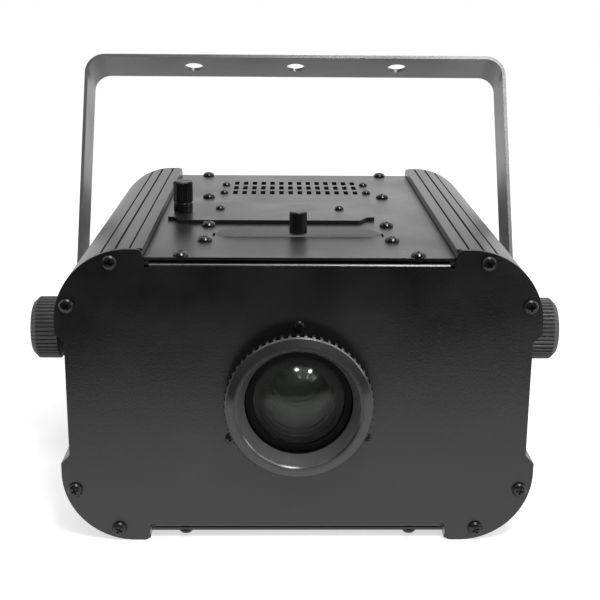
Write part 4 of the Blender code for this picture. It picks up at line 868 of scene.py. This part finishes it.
def barrel_mesh():
    edge = [(26.7, -0.3, 0.3), (26.7, 38, 0.3), (12.8, 38), (12.8, 26), (20.5, 22)]
    for rung in range(STOP_RUNGS):
        depth = 21.2 - STOP_RUNG_PITCH * rung
        edge += [(21.8, depth), (21.0, depth - STOP_RUNG_PITCH / 2)]
    edge += [(21.8, 9.6), (16.8, 9.6), (16.8, 4.9), (18.6, 4.9), (18.6, 4.6), (20.6, 4.6), (20.6, 4.3),
             (23.2, 4.3), (23.2, -0.3, 0.2)]
    return revolve(forward(soften(edge, 3)), 96)


def in_bore(face):
    return off_axis(face) < BORE_RADIUS and depth_of(face) < BORE_DEPTH


def lens(radius, front, bulge, rear):
    """A lens with a domed front and a flat back."""
    points = [(r, -front + rise) for r, rise in dome(radius, bulge, LENS_RINGS)]
    return revolve(points + [(radius, -rear), (0, -rear)], LENS_COLUMNS, closed=False)


def meniscus(radius, front, bulge, thickness):
    """A lens whose back follows its front."""
    back = -front - thickness
    inner = radius * MENISCUS_BACK
    hollow = dome(inner, bulge * MENISCUS_BACK_BULGE, LENS_RINGS)
    points = [(r, -front + rise) for r, rise in dome(radius, bulge, LENS_RINGS)]
    points += [(radius, back), (inner, back)]
    points += [(r, back + rise) for r, rise in reversed(hollow)][1:]
    return revolve(points, LENS_COLUMNS, closed=False)


barrel_shell = put("barrel_shell", barrel_mesh(), OPTIC, "lens_body", MATT_BLACK_AND_SHADE, ["lens_barrel"],
                   angle=30)
paint(barrel_shell, INNER_BLACK, in_bore)
front_glass = put("front_glass", meniscus(22.9, 0.9, 5.6, 2.6), OPTIC, "lens_body", FRONT_GLASS,
                  ["front_lens"])
put("inner_glass", meniscus(16.5, 6.6, 3.0, 2.0), OPTIC, "lens_body", INNER_GLASS)
put("rear_glass", lens(12.5, 31, 2.4, 34), OPTIC, "lens_body", REAR_GLASS, ["rear_lens"])


# Gobo holder

HOLDER_HALF = 43.9
HOLDER_FOOT = -34.2
HOLDER_WINDOW_RADIUS = 14.5
FRAME_WINDOW_RADIUS = 19.05
FRAME_TOP = 72.3
WEB_TOP = 66.3
TAB_SHOULDER = 19
TAB_FROM = 71.5
PULL_KNOB_RADIUS = 4.7
PULL_KNOB_DEPTH = 57.3
PULL_KNOB_BASE = 72.9
PULL_KNOB_TOP = 84.45


def sheet_up_to(top):
    middle = (HOLDER_FOOT + top) / 2
    return rectangle((0, middle), HOLDER_HALF, top - middle)


def holder_mesh():
    """Three layers from front to rear: a frame round the gobo, a web behind it and the leaf with the tab."""
    shoulder = arc((33.2, 56.8), TAB_SHOULDER, 55.7, 90, 12)
    window = circle((0, AXIS_HEIGHT), HOLDER_WINDOW_RADIUS, 48)
    frame_window = circle((0, AXIS_HEIGHT), FRAME_WINDOW_RADIUS, 48)
    knob_notch = box((-4.9, 50, PULL_KNOB_BASE - 0.05), (4.9, 60, 80))
    edge = mirrored([(HOLDER_HALF, HOLDER_FOOT)] + shoulder)
    leaf = cut(outline([edge, window], 54.5, 56.3, "xz"), knob_notch)
    front = outline([sheet_up_to(FRAME_TOP), frame_window], 49.7, 53.0, "xz")
    web = outline([sheet_up_to(WEB_TOP), window], 52.8, 54.7, "xz")
    return joined(leaf, web, front)


def on_tab_edge(face):
    return abs(face.normal.y) < 0.5 and height_of(face) > TAB_FROM


def pull_knob_mesh():
    edge = PULL_KNOB_RADIUS - 0.5
    profile = [(0, PULL_KNOB_TOP), (edge, PULL_KNOB_TOP, 0.3), (PULL_KNOB_RADIUS, PULL_KNOB_TOP - 0.5, 0.3),
               (PULL_KNOB_RADIUS, PULL_KNOB_BASE, 0.2), (0, PULL_KNOB_BASE)]
    body = revolve(soften(profile, 3, False), 64, closed=False)
    body.transform(Matrix.Translation((0, PULL_KNOB_DEPTH, 0)))
    return body


holder_plate = put("holder_plate", holder_mesh(), HOUSE, "gobo_carrier", HOLDER_STEEL, ["gobo_holder"],
                   bevel=0.03)
# The tab's edges get the darker copy: painted shade.
paint(holder_plate, HOLDER_EDGE_SHADE, on_tab_edge)
put("pull_knob", pull_knob_mesh(), HOUSE, "gobo_carrier", BLACK_PLASTIC, ["gobo_pull_knob"])


# Dimmer knob

DIMMER_BASE = 74.8
DIMMER_TOP = 92.1
DIMMER_COLLAR = DIMMER_BASE + 5.4
DIMMER_RIBS = 30
DIMMER_RIB = ((0.0, 1.0), (0.45, 1.0), (0.72, 0.0))
DIMMER_RIB_DEPTH = 0.28


def dimmer_mesh():
    base, top, collar = DIMMER_BASE, DIMMER_TOP, DIMMER_COLLAR
    profile = [(0, top), (4.7, top, 0.2), (5.5, top - 0.7, 0.3), (5.5, top - 0.9), (5.5, collar + 0.5),
               (5.1, collar + 0.2), (5.1, collar - 0.2), (5.4, collar - 0.5, 0.1), (5.35, base, 0.2),
               (3.8, base), (3.8, base + 1.8), (2.7, base + 1.8), (2.7, 87.1), (0, 87.1)]
    ribbed = []
    for radius, along in soften(profile, 3, False):
        on_grip = radius > 5.3 and collar + 0.4 < along < top - 0.6
        ribbed.append((radius, along, DIMMER_RIB_DEPTH if on_grip else 0.0))
    body = revolve(ribbed, teeth(DIMMER_RIBS, DIMMER_RIB), closed=False)
    pointer = box((-0.55, -12, top - 0.7), (0.55, 12, top + 1))
    pointer.transform(Matrix.Rotation(math.radians(-60), 4, "Z"))
    return cut(body, pointer)


put("dimmer_grip", dimmer_mesh(), HOUSE @ Matrix.Translation((DIMMER_X, DIMMER_DEPTH, 0)), "dimmer",
    BLACK_PLASTIC, ["dimmer_knob"], angle=32)


# Yoke and clamps

YOKE_REACH = 130
YOKE_TOP = 169
YOKE_BAR = 2
YOKE_BEND = 12
YOKE_HALF = 15
YOKE_HOLES_X = (-64, 0, 64)
YOKE_HOLE_RADIUS = 5.9
STUD_HOLE_RADIUS = 4.2
GRIP_RIBS = 46
GRIP_RIB = ((0.0, 1.0), (0.17, 0.88), (0.32, 0.35), (0.5, 0.0), (0.68, 0.35), (0.83, 0.88))
GRIP_RIB_DEPTH = 1.0
GRIP_RADIUS = 18.5
GRIP_BORE_RADIUS = 4.2
GRIP_BORE_END = 149.2
GRIP_FACE = 140.0
GRIP_ROUND = 153.0
GRIP_END = 155.9
HUB_RADIUS = 17.2
HUB_START = 131.8
HUB_END = 139.9


def yoke_mesh():
    """A flat bar bent into a U, with round ends at the pivot and three holes across its top."""
    bend = (YOKE_REACH - YOKE_BEND, YOKE_TOP - YOKE_BEND)
    outer_side = [(YOKE_REACH, -YOKE_HALF)] + arc(bend, YOKE_BEND, 0, 90, 20)
    inner_side = [(YOKE_REACH - YOKE_BAR, -YOKE_HALF)] + arc(bend, YOKE_BEND - YOKE_BAR, 0, 90, 20)
    edge = mirrored(outer_side) + [(-x, z) for x, z in inner_side] + list(reversed(inner_side))
    strip = outline([edge], -YOKE_HALF, YOKE_HALF, "xz")
    wide = 2 * YOKE_HALF
    corners = [(-wide, 0)] + arc((0, 0), YOKE_HALF, 180, 360, 48) + [(wide, 0), (wide, -wide), (-wide, -wide)]
    past = YOKE_REACH + wide
    drills = [outline([corners], -past, past, "yz")]
    for side in (-1, 1):
        start, end = (side * (YOKE_REACH - 2 * YOKE_BAR), 0, 0), (side * (YOKE_REACH + YOKE_BAR), 0, 0)
        drills.append(rod(STUD_HOLE_RADIUS, start, end, 40))
    for x in YOKE_HOLES_X:
        drills.append(rod(YOKE_HOLE_RADIUS, (x, 0, YOKE_TOP - 9), (x, 0, YOKE_TOP + 6), 48))
    return cut(strip, *drills)


def grip_mesh():
    """A knurled knob whose ribs run out over its rounded end."""
    profile = [(0, 156.2), (6, 156.17), (12, 156.05), (15.2, GRIP_END, 0.6), (GRIP_RADIUS, 152.6, 0.8),
               (GRIP_RADIUS, GRIP_FACE, 0.3), (GRIP_BORE_RADIUS, GRIP_FACE),
               (GRIP_BORE_RADIUS, GRIP_BORE_END), (0, GRIP_BORE_END)]
    ribbed = []
    for radius, along in soften(profile, 3, False):
        rib = GRIP_RIB_DEPTH if radius > GRIP_RADIUS - GRIP_RIB_DEPTH else 0.0
        if along > GRIP_ROUND:
            rib = max(0.0, GRIP_RIB_DEPTH * (GRIP_END - along) / (GRIP_END - GRIP_ROUND))
        ribbed.append((radius, along, rib))
    return revolve(ribbed, teeth(GRIP_RIBS, GRIP_RIB), closed=False)


def hub_mesh():
    return revolve(soften([(GRIP_BORE_RADIUS, HUB_START), (HUB_RADIUS, HUB_START, 0.4),
                           (HUB_RADIUS, HUB_END), (GRIP_BORE_RADIUS, HUB_END)], 3), 64)


put("yoke_bar", yoke_mesh(), YOKE, "yoke", YOKE_COAT, ["yoke_bracket"], bevel=0.25)
for side, name in ((-1, "left"), (1, "right")):
    place = PIVOT @ Matrix.Rotation(math.radians(90 * side), 4, "Y")
    put("grip_" + name, grip_mesh(), place, "clamp_" + name, GREY_PLASTIC, ["clamp_knob_" + name],
        angle=40)
    # The hub is painted matt black: painted shade between the grip and the yoke.
    put("grip_hub_" + name, hub_mesh(), place, "clamp_" + name, MATT_BLACK_AND_SHADE)


# Rear fittings

FITTING_FRONT = DEPTH + GAP
INLET_PINS = ((-6.5, -1.5), (0, 2.5), (6.5, -1.5))
INLET_PIN_HALF_WIDTH = 1
INLET_PIN_HALF_HEIGHT = 2
INLET_SCREW_REACH = 19.4
INLET_SCREW_SEAT = 244.1
ROCKER_TILT_DEG = 8
ROCKER_HALF_HEIGHT = 8.8


def fitting_plate(x, half_width, half_height, radius, steps, rear):
    edge = rectangle((x, FITTING_HEIGHT), half_width, half_height, radius, steps)
    return outline([edge], FITTING_FRONT, rear, "xz")


def fitting_box(x, half_width, half_height, front, rear):
    return box((x - half_width, front, FITTING_HEIGHT - half_height),
               (x + half_width, rear, FITTING_HEIGHT + half_height))


def inlet_shell():
    plate = fitting_plate(INLET_X, 22, 11.7, 3, 5, 244.8)
    body = fitting_box(INLET_X, 13.5, 9.7, 218.3, 246.0)
    return cut(joined(plate, body), fitting_box(INLET_X, 11.9, 8.1, 231, 248))


def switch_frame():
    plate = fitting_plate(SWITCH_X, 8.4, 12.4, 1.2, 3, 244.3)
    body = fitting_box(SWITCH_X, 6.6, 10.6, 226.3, 244.1)
    return cut(joined(plate, body), fitting_box(SWITCH_X, 5.6, 9.6, 233.3, 250))


def rocker_mesh():
    """A rocker with a dished face: its two ends stand out past its middle."""
    end = ROCKER_HALF_HEIGHT
    proud = 0.6 + end * math.tan(math.radians(ROCKER_TILT_DEG))
    edge = [(-6, -3), (-6, 3), (-3, end), (proud, end, 0.4), (0.6, 0, 6.0), (proud, -end, 0.4), (-3, -end)]
    return outline([soften(edge, 5)], -5.3, 5.3, "yz")


put("inlet_shell", inlet_shell(), HOUSE, "housing", BLACK_PLASTIC, ["mains_inlet"],
    bevel=0.35)
for number, (across, rise) in enumerate(INLET_PINS):
    x, height = INLET_X + across, FITTING_HEIGHT + rise
    pin = box((x - INLET_PIN_HALF_WIDTH, 230, height - INLET_PIN_HALF_HEIGHT),
              (x + INLET_PIN_HALF_WIDTH, 243, height + INLET_PIN_HALF_HEIGHT))
    put("inlet_pin_" + str(number), pin, HOUSE, "housing", STEEL, bevel=0.4)
for number, side in enumerate((-1, 1)):
    at = (INLET_X + side * INLET_SCREW_REACH, INLET_SCREW_SEAT, FITTING_HEIGHT)
    screw("inlet_screw_" + str(number), "lens", at, "rear", 33 + 40 * number)
put("switch_frame", switch_frame(), HOUSE, "housing", BLACK_PLASTIC, ["power_switch_frame"],
    bevel=0.3)
rocker_place = (HOUSE @ Matrix.Translation((SWITCH_X, FITTING_FRONT, FITTING_HEIGHT))
                @ Matrix.Rotation(math.radians(ROCKER_TILT_DEG), 4, "X"))
put("rocker_cap", rocker_mesh(), rocker_place, "rocker", BLACK_PLASTIC, ["power_switch_rocker"],
    bevel=0.3)


# Floor

FLOOR_GREY = 0.80
FLOOR_LIFT = 0.60
FLOOR_HALF_WIDTH = 3.0
FLOOR_HALF_DEPTH = 1.0
FLOOR_FRONT = -0.357
FLOOR_TURN_DEG = -10


def floor_material():
    """A pale floor lifted to white for the camera; gloss and glass see one even tone."""
    material = bpy.data.materials.new("floor_white")
    material.use_nodes = True
    tree = material.node_tree
    tree.nodes.clear()
    path = tree.nodes.new("ShaderNodeLightPath").outputs
    diffuse = tree.nodes.new("ShaderNodeBsdfDiffuse")
    diffuse.inputs["Color"].default_value = (FLOOR_GREY, FLOOR_GREY, FLOOR_GREY, 1.0)
    glow = tree.nodes.new("ShaderNodeEmission")
    lift = calculate(tree, "MULTIPLY", path["Is Camera Ray"], FLOOR_LIFT)
    tree.links.new(lift, glow.inputs["Strength"])
    lifted = tree.nodes.new("ShaderNodeAddShader")
    tree.links.new(diffuse.outputs[0], lifted.inputs[0])
    tree.links.new(glow.outputs[0], lifted.inputs[1])
    even = tree.nodes.new("ShaderNodeEmission")
    shiny = calculate(tree, "MAXIMUM", path["Is Glossy Ray"], path["Is Transmission Ray"])
    out = tree.nodes.new("ShaderNodeOutputMaterial")
    tree.links.new(mix(tree, shiny, lifted.outputs[0], even.outputs[0]), out.inputs["Surface"])
    return material


bm = bmesh.new()
bmesh.ops.create_grid(bm, x_segments=1, y_segments=1, size=1.0)
bmesh.ops.scale(bm, vec=(FLOOR_HALF_WIDTH, FLOOR_HALF_DEPTH, 1.0), verts=bm.verts)
bmesh.ops.translate(bm, vec=(0, FLOOR_FRONT + FLOOR_HALF_DEPTH, 0), verts=bm.verts)
bmesh.ops.rotate(bm, cent=(0, FLOOR_FRONT, 0), verts=bm.verts,
                 matrix=Matrix.Rotation(math.radians(FLOOR_TURN_DEG), 3, "Z"))
floor_mesh = mesh_of(bm)
floor_mesh.materials.append(floor_material())
floor = bpy.data.objects.new("floor", floor_mesh)
collection.objects.link(floor)


# World

AMBIENT = 0.45
# What gloss sees above: how far up a ray points (1 is straight up) and how bright it is there.
OVERHEAD = (0.95, 0.7)
OVERHEAD_STOPS = ((0.05, 0.06), (0.36, 0.06), (0.44, 0.0), (0.80, 0.0))


def background(tree, strength):
    node = tree.nodes.new("ShaderNodeBackground")
    node.inputs["Color"].default_value = (1, 1, 1, 1)
    if isinstance(strength, float):
        node.inputs["Strength"].default_value = strength
    else:
        tree.links.new(strength, node.inputs["Strength"])
    return node.outputs[0]


def studio():
    """White to the camera, even to rough surfaces; to gloss and glass bright behind and dark in front."""
    world = bpy.data.worlds.new("studio")
    world.use_nodes = True
    tree = world.node_tree
    tree.nodes.clear()
    path = tree.nodes.new("ShaderNodeLightPath").outputs
    coordinates = tree.nodes.new("ShaderNodeTexCoord")
    split = tree.nodes.new("ShaderNodeSeparateXYZ")
    tree.links.new(coordinates.outputs["Generated"], split.inputs["Vector"])
    behind = spread(tree, split.outputs["Y"], 0.0, 1.0, start=-0.35, end=0.25, shape="SMOOTHSTEP")
    sideways = spread(tree, split.outputs["X"], 0.88, 1.14, start=-0.15, end=0.20, shape="SMOOTHSTEP")
    level = OVERHEAD[1]
    above = tint(tree, split.outputs["Z"], (0, 0, 0), (level, level, level), 0.0, OVERHEAD[0])
    grey_stops(above, OVERHEAD_STOPS)
    ceiling = calculate(tree, "MULTIPLY", above, path["Is Glossy Ray"])
    seen = calculate(tree, "MAXIMUM", calculate(tree, "MULTIPLY", behind, sideways), ceiling)
    shiny = calculate(tree, "MAXIMUM", path["Is Glossy Ray"], path["Is Transmission Ray"])
    light = mix(tree, shiny, background(tree, AMBIENT), background(tree, seen))
    out = tree.nodes.new("ShaderNodeOutputWorld")
    tree.links.new(mix(tree, path["Is Camera Ray"], light, background(tree, 1.0)), out.inputs["Surface"])
    return world


bpy.context.scene.world = studio()


# Lights

AIM = Vector((0, 0, 0.1))
LENS_FRONT = Vector((0, FRONT_Y - 4.7, MID_Z + AXIS_HEIGHT)) * MM
# Each softbox's place and size in metres and its watts.
SOFTBOXES = (("top", (0.15, -0.15, 1.45), 0.60, 6.0), ("key", (0.28, -0.76, 1.25), 0.36, 9.0),
             ("right", (1.30, -0.45, 0.50), 0.40, 3.0))
# Each lamp that the lens shows: degrees to the right of ahead and up, size in metres and watts.
LAMPS = ((-2.1, 22.5, 0.056, 6.0), (15.5, 19.9, 0.062, 6.0), (4.2, 22.3, 0.030, 0.40),
         (2.2, 14.2, 0.032, 0.8), (11.4, 13.2, 0.032, 0.8), (19.9, 11.2, 0.032, 0.8))
LAMP_DISTANCE = 1.2
# Each light along the focus ring's edges: its place from the lens's front and its watts.
RING_LIGHTS = (("right", (0.94, -0.35, 0.98), 5.5), ("left", (-0.70, -0.35, 1.16), 2.2))
RING_LIGHT_SIZE = 0.7


def area_light(name, at, target, size, power, only=None):
    """A square light; only is a collection of the pieces that it lights, where it doesn't light all."""
    data = bpy.data.lights.new(name, "AREA")
    data.energy = power
    data.size = size
    obj = bpy.data.objects.new(name, data)
    collection.objects.link(obj)
    obj.location = at
    obj.rotation_euler = (target - Vector(at)).to_track_quat("-Z", "Y").to_euler()
    if only:
        obj.light_linking.receiver_collection = only


def only_for(name, piece):
    receivers = bpy.data.collections.new(name)
    receivers.objects.link(piece)
    return receivers


for name, at, size, power in SOFTBOXES:
    area_light("softbox_" + name, at, AIM, size, power)
lens_only = only_for("lens_only", front_glass)
for number, (across_deg, rise_deg, size, power) in enumerate(LAMPS):
    across, rise = math.radians(across_deg), math.radians(rise_deg)
    away = Vector((math.cos(rise) * math.sin(across), -math.cos(rise) * math.cos(across), math.sin(rise)))
    area_light("lamp_" + str(number), LENS_FRONT + away * LAMP_DISTANCE, LENS_FRONT, size, power, lens_only)
ring_only = only_for("ring_only", focus_grip)
for name, away, power in RING_LIGHTS:
    area_light("ring_light_" + name, LENS_FRONT + Vector(away), LENS_FRONT, RING_LIGHT_SIZE, power, ring_only)


# Camera

SENSOR_WIDTH = 36.0
FOCAL_PIXELS = 1152.636
IMAGE_WIDTH = 600.0
PAN, TILT, ROLL = -0.0189873, -0.2752747, -0.00803734
CAMERA_X = -10.0523
CAMERA_DEPTH = -540.4162
CAMERA_HEIGHT = 204.5827

camera_data = bpy.data.cameras.new("camera")
camera_data.sensor_fit = "HORIZONTAL"
camera_data.sensor_width = SENSOR_WIDTH
camera_data.lens = SENSOR_WIDTH * FOCAL_PIXELS / IMAGE_WIDTH
camera_data.clip_start = 0.01
camera_data.clip_end = 50.0
camera = bpy.data.objects.new("camera", camera_data)
collection.objects.link(camera)
turned = Matrix.Rotation(PAN, 4, "Z") @ Matrix.Rotation(TILT, 4, "X") @ Matrix.Rotation(ROLL, 4, "Y")
right, forth, up = turned.col[0].xyz, turned.col[1].xyz, turned.col[2].xyz
place = Matrix((right, up, -forth)).transposed().to_4x4()
place.translation = Vector((CAMERA_X, CAMERA_DEPTH + FRONT_Y, CAMERA_HEIGHT + MID_Z)) * MM
camera.matrix_world = place
bpy.context.scene.camera = camera

bpy.context.scene.view_settings.view_transform = "Standard"
